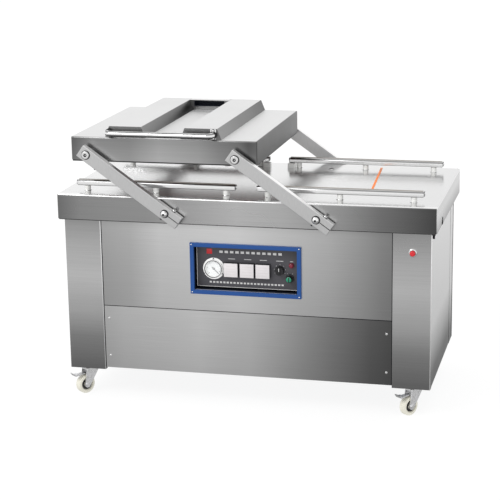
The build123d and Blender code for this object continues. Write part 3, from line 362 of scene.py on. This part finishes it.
NODE_MATERIALS = {
    "worktable": "table", "terminal_blocks": "white", "base_frame": "frame", "corner_pillars": "pillar",
    "front_upper_panel": "upper_panel", "front_lower_panel": "lower_panel",
    "rear_panel": "rear", "side_panels": "rear",
    "panel_screws": "chrome", "cable_gland": "black", "control_bezel": "blue", "control_housing": "navy",
    "control_plate": "plate", "gauge_case": "ring", "gauge_needle": "black", "timer_modules": "black",
    "switch_collars": "black", "power_lamp": "lamp", "heat_knob": "black", "power_knob": "black",
    "stop_button": "red", "shaft_bearings": "cast", "lid_shell": "lid", "lid_channels": "channel",
    "lid_crosspiece": "bridge", "lid_handle": "rod", "lid_gasket": "rubber", "pressure_pads": "silicone",
    "lid_pins": "chrome", "caster_plates": "zinc", "vacuum_pump": "machine", "pump_motor": "motor",
    "vacuum_piping": "rear", "solenoid_valves": "brass", "transformer": "machine", "electrical_tray": "machine",
    "bar_cylinders": "aluminium", "swing_shaft_left": "chrome", "swing_shaft_right": "chrome",
    "clamp_bolts_left": "chrome", "clamp_bolts_right": "chrome",
}
for row in ROWS:
    for side in SIDES:
        NODE_MATERIALS[f"arm_{row}_{side}"] = "arm"
        NODE_MATERIALS[f"seal_bar_{row}_{side}"] = "aluminium"
        NODE_MATERIALS[f"caster_fork_{row}_{side}"] = "zinc"
        NODE_MATERIALS[f"caster_wheel_{row}_{side}"] = "cream"
for side in SIDES:
    NODE_MATERIALS[f"brake_pedal_{side}"] = "zinc"


def dress_cad_nodes():
    for name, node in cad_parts.items():
        material = MATERIALS[NODE_MATERIALS[name]]
        node.data.materials.clear()
        node.data.materials.append(material)


# ---------------------------------------------------------------- mesh helpers

def piece(name, mesh, material, body, smooth_angle=35):
    """A finished object from a bmesh, riding on a CAD body."""
    data = bpy.data.meshes.new(name)
    bmesh.ops.recalc_face_normals(mesh, faces=mesh.faces)
    mesh.to_mesh(data)
    mesh.free()
    obj = bpy.data.objects.new(name, data)
    bpy.context.scene.collection.objects.link(obj)
    data.materials.append(MATERIALS[material])
    data.shade_smooth()
    data.set_sharp_from_angle(angle=math.radians(smooth_angle))
    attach(obj, body)
    return obj


def axis_frame(centre, axis):
    """Places local Z along the axis, at the centre."""
    turn = Vector(axis).to_track_quat("Z", "Y").to_matrix().to_4x4()
    return Matrix.Translation(Vector(centre)) @ turn


def add_box(mesh, low, high, bevel=0.0, segments=2):
    """A box between two corners, with its edges rounded."""
    low, high = Vector(low), Vector(high)
    size = high - low
    place = Matrix.Translation((low + high) / 2) @ Matrix.Diagonal((*size, 1.0))
    made = bmesh.ops.create_cube(mesh, size=1.0, matrix=place)
    if bevel:
        edges = list(dict.fromkeys(edge for vert in made["verts"] for edge in vert.link_edges))
        bmesh.ops.bevel(mesh, geom=edges, offset=bevel, segments=segments, affect="EDGES", profile=0.5)


def add_lathe(mesh, centre, axis, profile, segments=40):
    """Turns a profile of (radius, height) points round an axis. Radius 0 closes an end."""
    place = axis_frame(centre, axis)
    rings = []
    for radius, height in profile:
        if radius == 0:
            rings.append([mesh.verts.new(place @ Vector((0, 0, height)))])
            continue
        ring = []
        for index in range(segments):
            angle = 2 * math.pi * index / segments
            spot = Vector((radius * math.cos(angle), radius * math.sin(angle), height))
            ring.append(mesh.verts.new(place @ spot))
        rings.append(ring)
    for first, second in zip(rings, rings[1:]):
        for index in range(segments):
            following = (index + 1) % segments
            corners = [first[index % len(first)], first[following % len(first)]]
            corners += [second[following % len(second)], second[index % len(second)]]
            unique = list(dict.fromkeys(corners))
            if len(unique) > 2:
                mesh.faces.new(unique)


def add_prism(mesh, outline, place, depth, bevel=0.0):
    """Draws a closed outline of (x, y) points out along local Z."""
    bottom = [mesh.verts.new(place @ Vector((x, y, 0))) for x, y in outline]
    top = [mesh.verts.new(place @ Vector((x, y, depth))) for x, y in outline]
    mesh.faces.new(list(reversed(bottom)))
    mesh.faces.new(top)
    for index in range(len(outline)):
        following = (index + 1) % len(outline)
        mesh.faces.new([bottom[index], bottom[following], top[following], top[index]])
    if bevel:
        rims = list(dict.fromkeys(
            edge for ring in (bottom, top) for vert in ring for edge in vert.link_edges
            if edge.other_vert(vert) in ring
        ))
        bmesh.ops.bevel(mesh, geom=rims, offset=bevel, segments=2, affect="EDGES", profile=0.5)


def hexagon(across_flats):
    radius = across_flats / math.sqrt(3)
    angles = [math.radians(60 * corner) for corner in range(6)]
    return [(radius * math.cos(angle), radius * math.sin(angle)) for angle in angles]


def washer(inner, outer, thickness):
    """The closed profile of a flat ring, for add_lathe."""
    return [(inner, 0), (outer, 0), (outer, thickness), (inner, thickness), (inner, 0)]


def rounded_outline(half_width, low, high, radius, steps=6):
    """A section that is square below and has two large rounded corners above."""
    outline = [(-half_width, low), (half_width, low)]
    for corner, start in ((half_width - radius, 0), (-half_width + radius, 90)):
        for step in range(steps + 1):
            angle = math.radians(start + 90 * step / steps)
            outline.append((corner + radius * math.cos(angle), high - radius + radius * math.sin(angle)))
    return outline


def middle(node):
    low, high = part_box(node)
    return (low + high) / 2


# ---------------------------------------------------------------- sealing bars

# The driving places and sizes that the trims share.
PILLAR_FACE_Y = -0.354
PANEL_FACE_Y = -0.351
PILLAR_INNER_X = 0.573
SKIRT_BOTTOM_Z = 0.7305
PORT_X = 0.222
PORT_Y = 0.276
SHAFT_X = 0.2935
SHAFT_Z = 0.775
ARM_FACE_Y = 0.4121
ARM_MIDDLE_Y = 0.398
CASTER_X = 0.655
CASTER_Y = 0.290
TIMER_XS = (-0.0567, 0.0068, 0.0691)
HEAT_KNOB = (0.134, 0.5494)
POWER_KNOB = (0.1728, 0.5200)

BAR_TOP_STRIP = 0.0015
BAR_DEPTH = 0.019
BAR_SCREW = 0.005
POST_OFFSETS = (-0.28, 0.0, 0.28)
POST_RADIUS = 0.0115
ALONG_X = Matrix(((0, 0, 1, 0), (1, 0, 0, 0), (0, 1, 0, 0), (0, 0, 0, 1)))


def make_sealing_bar(row, side):
    """Rounded bar with end caps, a tape strip along its top, seal below, terminals and three posts."""
    node = f"seal_bar_{row}_{side}"
    body = f"bar_{row}_{side}"
    low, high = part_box(node)
    y = (low.y + high.y) / 2
    half_width = (high.y - low.y) / 2
    x0, x1 = low.x + BAR_SCREW, high.x - BAR_SCREW
    top = high.z - BAR_TOP_STRIP
    bottom = top - BAR_DEPTH
    section = rounded_outline(half_width, bottom, top, 0.009)
    mesh = bmesh.new()
    add_prism(mesh, section, Matrix.Translation((x0, y, 0)) @ ALONG_X, x1 - x0, 0.0012)
    rail = piece(f"bar_rail_{row}_{side}", mesh, "bar", body)
    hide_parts(node)

    mesh = bmesh.new()
    add_box(mesh, (x0 + 0.004, y - 0.006, top - 0.0006), (x1 - 0.004, y + 0.006, high.z), 0.0005)
    piece(f"bar_tape_{row}_{side}", mesh, "tape", body)

    mesh = bmesh.new()
    seal_half = half_width - 0.001
    add_box(mesh, (x0 + 0.002, y - seal_half, bottom - 0.0018), (x1 - 0.002, y + seal_half, bottom))
    piece(f"bar_underseal_{row}_{side}", mesh, "rubber", body)

    caps, screws = bmesh.new(), bmesh.new()
    middle_z = (top + bottom) / 2
    cap_section = rounded_outline(half_width - 0.001, bottom + 0.0008, top - 0.0008, 0.0085)
    for end, out in ((x0, -1), (x1, 1)):
        start = end - 0.0016 if out < 0 else end
        add_prism(caps, cap_section, Matrix.Translation((start, y, 0)) @ ALONG_X, 0.0016)
        add_lathe(screws, (end, y, middle_z), (out, 0, 0),
                  [(0, 0.0016), (0.0058, 0.0016), (0.0052, 0.0046), (0.0036, 0.005), (0, 0.005)], 24)
    piece(f"bar_caps_{row}_{side}", caps, "black", body)
    piece(f"bar_terminals_{row}_{side}", screws, "chrome", body)

    table_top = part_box("worktable")[1].z
    posts = bmesh.new()
    foot = table_top - 0.03
    for offset in POST_OFFSETS:
        x = (x0 + x1) / 2 + offset
        add_lathe(posts, (x, y, foot), UP,
                  [(0, 0), (POST_RADIUS, 0), (POST_RADIUS, bottom - foot), (0, bottom - foot)], 32)
    piece(f"bar_posts_{row}_{side}", posts, "white", body)


def make_post_bushes():
    """Flanged bushes in the table round each post."""
    mesh = bmesh.new()
    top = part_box("worktable")[1].z
    for row in ROWS:
        for side in SIDES:
            centre = middle(f"seal_bar_{row}_{side}")
            for offset in POST_OFFSETS:
                add_lathe(
                    mesh, (centre.x + offset, centre.y, top), UP,
                    [(0.0118, -0.003), (0.0118, 0.0012), (0.0150, 0.0012), (0.0158, 0.0), (0.0118, -0.003)], 28,
                )
    piece("post_bushes", mesh, "aluminium", "cabinet")


def make_port_rims():
    """Raised rims round the two suction ports."""
    mesh = bmesh.new()
    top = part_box("worktable")[1].z
    for x in (-PORT_X, PORT_X):
        add_lathe(
            mesh, (x, PORT_Y, top), UP,
            [(0.0099, -0.002), (0.0099, 0.001), (0.0125, 0.001), (0.0132, 0), (0.0099, -0.002)], 28,
        )
    piece("port_rims", mesh, "chrome", "cabinet")


def make_guide_strip():
    """Thin orange strip that lies across the right work surface."""
    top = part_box("worktable")[1].z
    start, end = Vector((0.458, -0.177)), Vector((0.422, 0.328))
    along = (end - start).normalized()
    across = Vector((-along.y, along.x)) * 0.0045
    corners = [start - across, end - across, end + across, start + across]
    mesh = bmesh.new()
    add_prism(mesh, [tuple(c) for c in corners], Matrix.Translation((0, 0, top)), 0.0016, 0.0005)
    piece("guide_strip", mesh, "orange", "cabinet")


def make_edge_trims():
    """Painted highlights on the pillars' folded edges, painted shade in the gaps beside the pillars and at the rear
    right corner, the dark seam between the front panels, and a dark strip of painted shade under the table's skirt.
    """
    face, panel, top = PILLAR_FACE_Y, PANEL_FACE_Y, SKIRT_BOTTOM_Z
    bright, dark, skirt_shade = bmesh.new(), bmesh.new(), bmesh.new()
    for side in (-1, 1):
        # Painted shade in the gaps between the pillars and the panels.
        inner = side * PILLAR_INNER_X
        joint = sorted((inner - side * 0.0004, inner - side * 0.0026))
        add_box(dark, (joint[0], panel - 0.0003, 0.126), (joint[1], panel + 0.0006, top))
    # Painted highlights: bright strips on the pillars' front edges.
    for x in (-0.5758, 0.7172):
        add_box(bright, (x, face - 0.0004, 0.1165), (x + 0.0028, face + 0.0006, top), 0.0002)
    # Painted shade: a dark strip at the rear right corner.
    add_box(dark, (0.7195, 0.322, 0.1200), (0.7204, 0.333, top))
    # Dark seam between the upper and lower front panels.
    add_box(dark, (-0.5725, panel - 0.0003, 0.3798), (0.5725, panel + 0.0006, 0.3824))
    # Painted shade: dark strips under the skirt's front and rear edges.
    for y in (-0.375, 0.3725):
        add_box(skirt_shade, (-0.734, y, 0.7282), (0.734, y + 0.0025, 0.7310))
    piece("pillar_edge_highlights", bright, "bright", "cabinet")
    piece("panel_joints", dark, "hole", "cabinet")
    piece("skirt_shade_strip", skirt_shade, "rubber", "cabinet")


def make_skirt_fixings():
    """Bolt under the skirt's front right corner, and the clip on its right side."""
    mesh = bmesh.new()
    bolt = [(0, 0.019), (0.0045, 0.019), (0.0045, 0.006), (0.0068, 0.006), (0.0068, 0)]
    add_lathe(mesh, (0.7275, -0.3680, 0.7310), (0, 0, -1), bolt, 16)
    clip = [(-0.016, 0), (0.010, 0), (0.006, 0.026)]
    add_prism(mesh, clip, Matrix.Translation((0.7400, -0.212, 0.7330)) @ ALONG_X, 0.0016)
    piece("skirt_fixings", mesh, "hole", "cabinet")


# ---------------------------------------------------------------- lid, arms and pins

def hexagon_at(mesh, spot, axis, across_flats, thickness):
    add_prism(mesh, hexagon(across_flats), axis_frame(spot, axis), thickness)


def make_pin_trims():
    """Dark washers under the lid pins' heads as painted shadow, dark hexagon sockets as painted shade and a chrome
    dot in each socket as a painted glint.
    """
    pins_low, pins_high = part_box("lid_pins")
    z = (pins_low.z + pins_high.z) / 2
    washers, sockets, glint_dots = bmesh.new(), bmesh.new(), bmesh.new()
    for x in (pins_low.x + 0.015, pins_high.x - 0.015):
        for out in (-1, 1):
            outward = (0, out, 0)
            add_lathe(washers, (x, out * ARM_FACE_Y, z), outward, washer(0.009, 0.0180, 0.0008), 36)
            hexagon_at(sockets, (x, out * 0.4156, z), outward, 0.0118, 0.0006)
            add_lathe(glint_dots, (x, out * 0.4161, z), outward, [(0, 0.0008), (0.0020, 0.0008), (0.0026, 0)], 16)
    piece("pin_shadow_washers", washers, "black", "lid")
    piece("pin_socket_shade", sockets, "hole", "lid")
    piece("pin_glint_dots", glint_dots, "chrome", "lid")


ARM_REST = math.radians(35.3)
ARM_ALONG = Vector((-math.cos(ARM_REST), 0, math.sin(ARM_REST)))
ARM_ACROSS = Vector((math.sin(ARM_REST), 0, math.cos(ARM_REST)))


def arm_point(side, along, across, y):
    """A point in an arm's own directions, from its cross shaft."""
    return Vector((SIDES[side] * SHAFT_X, y, SHAFT_Z)) + ARM_ALONG * along + ARM_ACROSS * across


def make_arm_trims(side):
    """Dark rings round the shaft caps as painted shadow, dark sockets as painted shade, clamp washers, set screws and
    dark clamp slits filled with painted shade.
    """
    body = f"swing_{side}"
    rings, sockets, screws, slit_shades = bmesh.new(), bmesh.new(), bmesh.new(), bmesh.new()
    clamp_screw = [(0, 0.008), (0.0034, 0.008), (0.0044, 0.007), (0.0044, 0)]
    lid_screw = [(0, 0.006), (0.0030, 0.006), (0.0038, 0.005), (0.0038, 0)]
    for out in (-1, 1):
        outward = (0, out, 0)
        middle_y = out * ARM_MIDDLE_Y
        # Painted shadow: a dark ring round each shaft cap.
        add_lathe(rings, arm_point(side, 0, 0, out * ARM_FACE_Y), outward, washer(0.0125, 0.0165, 0.0010), 36)
        # Painted shade: dark hexagon sockets.
        hexagon_at(sockets, arm_point(side, 0, 0, out * 0.4296), outward, 0.008, 0.0008)
        clamp_top = arm_point(side, -0.022, 0.0249, middle_y)
        add_lathe(rings, clamp_top, ARM_ACROSS, washer(0.004, 0.0090, 0.0012), 24)
        hexagon_at(sockets, arm_point(side, -0.022, 0.0290, middle_y), ARM_ACROSS, 0.0058, 0.0004)
        add_lathe(screws, arm_point(side, 0.002, -0.0249, middle_y), -ARM_ACROSS, clamp_screw, 20)
        if side == "left":
            add_lathe(screws, arm_point(side, 0.320, -0.0249, middle_y), -ARM_ACROSS, lid_screw, 20)
        turn = Matrix((ARM_ALONG, ARM_ACROSS, Vector((0, 1, 0)))).transposed().to_4x4()
        outline = [(-0.0645, -0.0013), (-0.0160, -0.0013), (-0.0160, 0.0013), (-0.0645, 0.0013)]
        start = arm_point(side, 0, 0, middle_y - 0.0135)
        # Painted shade: dark sheets fill the clamp slits.
        add_prism(slit_shades, outline, Matrix.Translation(start) @ turn, 0.027)
    piece(f"arm_rings_{side}", rings, "black", body)
    piece(f"arm_socket_shade_{side}", sockets, "hole", body)
    piece(f"arm_screws_{side}", screws, "black", body)
    piece(f"clamp_slit_shade_{side}", slit_shades, "hole", body)


def make_lid_trims():
    """Painted shade in the bridge's slot, handle bracket and handle flange."""
    low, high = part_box("lid_crosspiece")
    centre = (low.x + high.x) / 2
    x0, x1 = centre - 0.0654, centre + 0.0654
    y0, y1 = low.y + 0.0006, high.y - 0.0033
    z0, z1 = high.z - 0.0258, high.z - 0.0032
    # Painted shade: dark navy sheets line the slot.
    slot_shade = bmesh.new()
    sheet = 0.0005
    for first, second in (
        ((x0, y1 - sheet, z0), (x1, y1, z1)), ((x0, y0, z0), (x1, y1, z0 + sheet)),
        ((x0, y0, z1 - sheet), (x1, y1, z1)),
        ((x0, y0, z0), (x0 + sheet, y1, z1)), ((x1 - sheet, y0, z0), (x1, y1, z1)),
    ):
        add_box(slot_shade, first, second)
    piece("slot_painted_shade", slot_shade, "navy", "lid")

    handle_low, handle_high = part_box("lid_handle")
    channel_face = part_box("lid_channels")[0].y
    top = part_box("lid_shell")[1].z
    plates, washers = bmesh.new(), bmesh.new()
    right_leg, left_leg = handle_high.x - 0.011, handle_low.x + 0.011
    plate_low = (right_leg - 0.011, channel_face - 0.0035, top + 0.001)
    add_box(plates, plate_low, (right_leg + 0.011, channel_face, top + 0.041), 0.001)
    disc = [(0, 0.0010), (0.0062, 0.0010), (0.0062, 0)]
    dome = [(0, 0.0040), (0.0026, 0.0038), (0.0044, 0.0020), (0.0046, 0)]
    for z in (top + 0.0055, top + 0.0355):
        add_lathe(washers, (right_leg, channel_face - 0.0035, z), FORWARD, disc, 24)
        add_lathe(plates, (right_leg, channel_face - 0.0045, z), FORWARD, dome, 24)
    for x in (right_leg, left_leg):
        add_lathe(washers, (x, channel_face - 0.0042, top + 0.019), FORWARD, washer(0.0108, 0.0145, 0.0022), 32)
    piece("handle_bracket", plates, "chrome", "lid")
    piece("handle_washers", washers, "black", "lid")


# ---------------------------------------------------------------- casters

def make_caster_trims():
    """Dark hub rings on the wheels, and the dark race above each fork."""
    for row in ROWS:
        for side in SIDES:
            wheel = middle(f"caster_wheel_{row}_{side}")
            swivel = Vector((SIDES[side] * CASTER_X, ROWS[row] * CASTER_Y, 0))
            trail = Vector((wheel.x - swivel.x, wheel.y - swivel.y, 0)).normalized()
            axle = Vector((-trail.y, trail.x, 0))
            hubs = bmesh.new()
            for out in (-1, 1):
                add_lathe(hubs, wheel + axle * out * 0.0100, axle * out, washer(0.0125, 0.0225, 0.0010), 32)
            piece(f"wheel_hub_{row}_{side}", hubs, "rubber", f"wheel_{row}_{side}")
            race = bmesh.new()
            race_outline = [
                (0.0065, 0), (0.0250, 0), (0.0265, 0.002), (0.0265, 0.0050), (0.0065, 0.0050), (0.0065, 0),
            ]
            add_lathe(race, swivel + UP * 0.1042, UP, race_outline, 36)
            piece(f"caster_race_{row}_{side}", race, "black", f"fork_{row}_{side}")


# ---------------------------------------------------------------- controls

def plate_front():
    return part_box("control_plate")[0].y


def make_gauge():
    """Dial face with ticks, clear lens, dark ring and three flange screws."""
    low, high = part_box("gauge_case")
    centre = (low + high) / 2
    x, z = centre.x, centre.z
    flange = plate_front() - 0.004
    mesh = bmesh.new()
    # Painted light: the dial face glows faintly.
    add_lathe(mesh, (x, flange, z), FORWARD, [(0, 0.0004), (0.0328, 0.0004), (0.0328, 0.0), (0, 0.0)], 48)
    piece("gauge_face", mesh, "face", "cabinet")
    ticks = bmesh.new()
    for index in range(28):
        angle = math.radians(225 - index * 10)
        inner = 0.0235 if index % 5 == 0 else 0.0265
        width = 0.0007 if index % 5 == 0 else 0.0004
        turn = Matrix.Translation((x, flange - 0.0004, z)) @ Matrix.Rotation(-angle, 4, "Y")
        local = bmesh.new()
        add_box(local, (inner, -0.0003, -width), (0.0295, 0.0001, width))
        bmesh.ops.transform(local, matrix=turn, verts=local.verts)
        data = bpy.data.meshes.new("tick")
        local.to_mesh(data)
        local.free()
        ticks.from_mesh(data)
        bpy.data.meshes.remove(data)
    piece("gauge_ticks", ticks, "black", "cabinet")
    ring = bmesh.new()
    ring_outline = [
        (0.0350, 0.0102), (0.0350, 0.0112), (0.0324, 0.0112), (0.0324, 0.0080), (0.0330, 0.0080),
        (0.0330, 0.0102), (0.0350, 0.0102),
    ]
    add_lathe(ring, (x, flange, z), FORWARD, ring_outline, 64)
    piece("gauge_ring", ring, "plate", "cabinet")
    lens = bmesh.new()
    add_lathe(lens, (x, flange, z), FORWARD, [(0, 0.0088), (0.0322, 0.0082), (0.0322, 0.0074), (0, 0.0078)], 48)
    piece("gauge_lens", lens, "lens", "cabinet")
    screws = bmesh.new()
    for degrees in (90, 210, 330):
        angle = math.radians(degrees)
        spot = (x + 0.0396 * math.cos(angle), flange, z + 0.0396 * math.sin(angle))
        add_lathe(screws, spot, FORWARD, [(0, 0.0018), (0.0012, 0.0018), (0.0024, 0.001), (0.0026, 0)], 16)
    piece("gauge_screws", screws, "black", "cabinet")


def make_timer_faces():
    """Pale faces of the timer modules, each with four plain rules."""
    low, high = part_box("timer_modules")
    faces, marks = bmesh.new(), bmesh.new()
    z = (low.z + high.z) / 2
    for x in TIMER_XS:
        face_y = low.y + 0.0002
        half = 0.0272
        add_box(faces, (x - half, face_y - 0.0012, z - half), (x + half, face_y + 0.003, z + half), 0.001)
        for row in range(4):
            add_box(marks, (x - 0.018, face_y - 0.0014, z + 0.0150 - row * 0.0105),
                    (x + 0.018, face_y - 0.0008, z + 0.0160 - row * 0.0105))
    piece("timer_faces", faces, "tile", "cabinet")
    piece("timer_marks", marks, "faint", "cabinet")


def make_plate_trim():
    """A silver edge round the instrument plate with its sheen painted as matte light grey, rows of plain dashes and a
    plain red square.
    """
    low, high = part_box("control_plate")
    y = low.y
    trim = bmesh.new()
    edge = 0.0022
    for x0, x1, z0, z1 in (
        (low.x, low.x + edge, low.z, high.z), (high.x - edge, high.x, low.z, high.z),
        (low.x, high.x, low.z, low.z + edge), (low.x, high.x, high.z - edge, high.z),
    ):
        # Painted sheen: the silver edge is drawn in matte light grey.
        add_box(trim, (x0, y - 0.0008, z0), (x1, y + 0.0006, z1), 0.0003)
    piece("plate_trim", trim, "mark", "cabinet")
    marks = bmesh.new()
    for count, x_start, pitch, length, z, half in (
        (12, -0.105, 0.0212, 0.0135, 0.6130, 0.0046), (22, -0.146, 0.0136, 0.0088, 0.4905, 0.0034),
    ):
        for index in range(count):
            x = x_start + index * pitch
            add_box(marks, (x, y - 0.0003, z - half), (x + length, y + 0.0002, z + half), 0.0002)
    for x in (*TIMER_XS, HEAT_KNOB[0], 0.1797):
        half = 0.014 if x < 0.16 else 0.006
        add_box(marks, (x - half, y - 0.0003, 0.5850), (x + half, y + 0.0002, 0.5872))
    piece("plate_marks", marks, "mark", "cabinet")
    spot = bmesh.new()
    add_box(spot, (-0.156, y - 0.0003, 0.603), (-0.134, y + 0.0002, 0.623), 0.0002)
    piece("plate_spot", spot, "red", "cabinet")


def make_knob_faces():
    """Light pointer on the heat knob, green lens and dark rib on the power knob."""
    low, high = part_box("heat_knob")
    x, z = (low.x + high.x) / 2, (low.z + high.z) / 2
    mesh = bmesh.new()
    add_box(mesh, (x - 0.0012, low.y - 0.0005, z), (x + 0.0012, low.y + 0.0005, high.z - 0.003), 0.0002)
    piece("heat_pointer", mesh, "mark", "heat_dial")
    low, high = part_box("power_knob")
    x, z = (low.x + high.x) / 2, (low.z + high.z) / 2
    radius = min(high.x - low.x, high.z - low.z) / 2
    mesh = bmesh.new()
    dome = [(0, 0.0030), (radius * 0.7, 0.0026), (radius * 0.9, 0.0010), (radius * 0.9, 0)]
    add_lathe(mesh, (x, low.y, z), FORWARD, dome, 36)
    piece("power_lens", mesh, "green", "power_dial")
    mesh = bmesh.new()
    rib = radius * 0.75
    add_box(mesh, (x - 0.0016, low.y - 0.0040, z - rib), (x + 0.0016, low.y - 0.0012, z + rib), 0.0004)
    piece("power_rib", mesh, "black", "power_dial")


def make_scale_dots(name, x, z, radius, angles):
    """Small dots on the plate round a rotary knob."""
    mesh = bmesh.new()
    for degrees in angles:
        angle = math.radians(degrees)
        spot = (x + radius * math.cos(angle), plate_front(), z + radius * math.sin(angle))
        add_lathe(mesh, spot, FORWARD, [(0, 0.0004), (0.0011, 0.0004), (0.0013, 0)], 12)
    piece(name, mesh, "mark", "cabinet")


def make_bezel_screws():
    mesh = bmesh.new()
    low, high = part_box("control_bezel")
    for x in (low.x + 0.007, high.x - 0.007):
        for z in (low.z + 0.007, high.z - 0.007):
            head = [(0, 0.001), (0.0014, 0.001), (0.0026, 0.0003), (0.0028, 0)]
            add_lathe(mesh, (x, low.y, z), FORWARD, head, 16)
    piece("bezel_screws", mesh, "chrome", "cabinet")


def make_stop_collar():
    """Chrome collar of the stop button, over its plain ring."""
    low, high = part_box("stop_button")
    x, z = (low.x + high.x) / 2, (low.z + high.z) / 2
    mesh = bmesh.new()
    outline = [
        (0.0165, 0), (0.0165, 0.002), (0.0150, 0.0062), (0.0135, 0.0072), (0.0118, 0.0072),
        (0.0116, 0.006), (0.0116, 0.0),
    ]
    add_lathe(mesh, (x, PILLAR_FACE_Y, z), FORWARD, outline, 40)
    piece("stop_collar", mesh, "chrome", "cabinet")


# ---------------------------------------------------------------- stage

def make_camera():
    cos_yaw, sin_yaw = math.cos(CAMERA_YAW), math.sin(CAMERA_YAW)
    cos_pitch, sin_pitch = math.cos(CAMERA_PITCH), math.sin(CAMERA_PITCH)
    forward = Vector((-sin_yaw * cos_pitch, cos_yaw * cos_pitch, -sin_pitch))
    right = Vector((cos_yaw, sin_yaw, 0))
    up = right.cross(forward)
    cos_roll, sin_roll = math.cos(CAMERA_ROLL), math.sin(CAMERA_ROLL)
    rolled_right = cos_roll * right + sin_roll * up
    rolled_up = cos_roll * up - sin_roll * right
    data = bpy.data.cameras.new("camera")
    data.lens = CAMERA_LENS
    data.sensor_width = 36
    data.clip_end = 100
    camera = bpy.data.objects.new("camera", data)
    turn = Matrix((rolled_right, rolled_up, -forward)).transposed().to_4x4()
    camera.matrix_world = Matrix.Translation(CAMERA_PLACE) @ turn
    bpy.context.scene.collection.objects.link(camera)
    bpy.context.scene.camera = camera


def make_floor():
    """Plain pale floor that stays nearly white and takes only a soft contact shadow."""
    mesh = bmesh.new()
    bmesh.ops.create_grid(mesh, x_segments=1, y_segments=1, size=30)
    data = bpy.data.meshes.new("floor")
    mesh.to_mesh(data)
    mesh.free()
    floor = bpy.data.objects.new("floor", data)
    bpy.context.scene.collection.objects.link(floor)
    shader = Shader("pale_floor", (0.14, 0.14, 0.14), 0.9)
    shader.set("Emission Color", (1, 1, 1, 1))
    shader.set("Emission Strength", 0.86)
    data.materials.append(shader.material)
    floor.visible_glossy = False


def make_world():
    """White studio: bright above, falling to grey below the horizon, where upright metal faces look."""
    world = bpy.data.worlds.new("studio")
    bpy.context.scene.world = world
    world.use_nodes = True
    nodes, links = world.node_tree.nodes, world.node_tree.links
    background = nodes["Background"]
    place = nodes.new("ShaderNodeTexCoord")
    split = nodes.new("ShaderNodeSeparateXYZ")
    links.new(place.outputs["Generated"], split.inputs["Vector"])
    height = nodes.new("ShaderNodeMapRange")
    height.inputs["From Min"].default_value = -1
    height.inputs["From Max"].default_value = 1
    links.new(split.outputs["Z"], height.inputs["Value"])
    ramp = nodes.new("ShaderNodeValToRGB")
    stops = [(0.0, 0.30), (0.33, 0.42), (0.44, 0.95), (0.5, 1.0), (1.0, 1.0)]
    while len(ramp.color_ramp.elements) < len(stops):
        ramp.color_ramp.elements.new(0.5)
    for element, (position, value) in zip(ramp.color_ramp.elements, stops):
        element.position = position
        element.color = (value, value, value, 1)
    links.new(height.outputs["Result"], ramp.inputs["Fac"])
    path = nodes.new("ShaderNodeLightPath")
    chooser = nodes.new("ShaderNodeMix")
    chooser.data_type = "RGBA"
    links.new(path.outputs["Is Camera Ray"], chooser.inputs[0])
    links.new(ramp.outputs["Color"], chooser.inputs[6])
    chooser.inputs[7].default_value = (1, 1, 1, 1)
    links.new(chooser.outputs[2], background.inputs["Color"])
    background.inputs["Strength"].default_value = 1.0


def make_light(name, place, target, size, power):
    data = bpy.data.lights.new(name, "AREA")
    data.shape = "RECTANGLE"
    data.size, data.size_y = size
    data.energy = power
    light = bpy.data.objects.new(name, data)
    light.location = place
    light.rotation_mode = "QUATERNION"
    light.rotation_quaternion = (Vector(target) - Vector(place)).to_track_quat("-Z", "Y")
    bpy.context.scene.collection.objects.link(light)


def set_stage():
    make_camera()
    make_world()
    make_floor()
    make_light("key", (-2.5, -3.5, 4.0), (0, 0, 0.7), (3.0, 2.0), 90)
    bpy.context.scene.view_settings.view_transform = "Standard"


set_stage()
dress_cad_nodes()
for row in ROWS:
    for side in SIDES:
        make_sealing_bar(row, side)
make_post_bushes()
make_port_rims()
make_guide_strip()
make_edge_trims()
make_skirt_fixings()
make_pin_trims()
for side in SIDES:
    make_arm_trims(side)
make_lid_trims()
make_caster_trims()
make_gauge()
make_timer_faces()
make_plate_trim()
make_knob_faces()
make_scale_dots("heat_scale", *HEAT_KNOB, 0.0225, range(-30, 211, 40))
make_scale_dots("power_scale", *POWER_KNOB, 0.0205, (60, 120))
make_bezel_screws()
make_stop_collar()
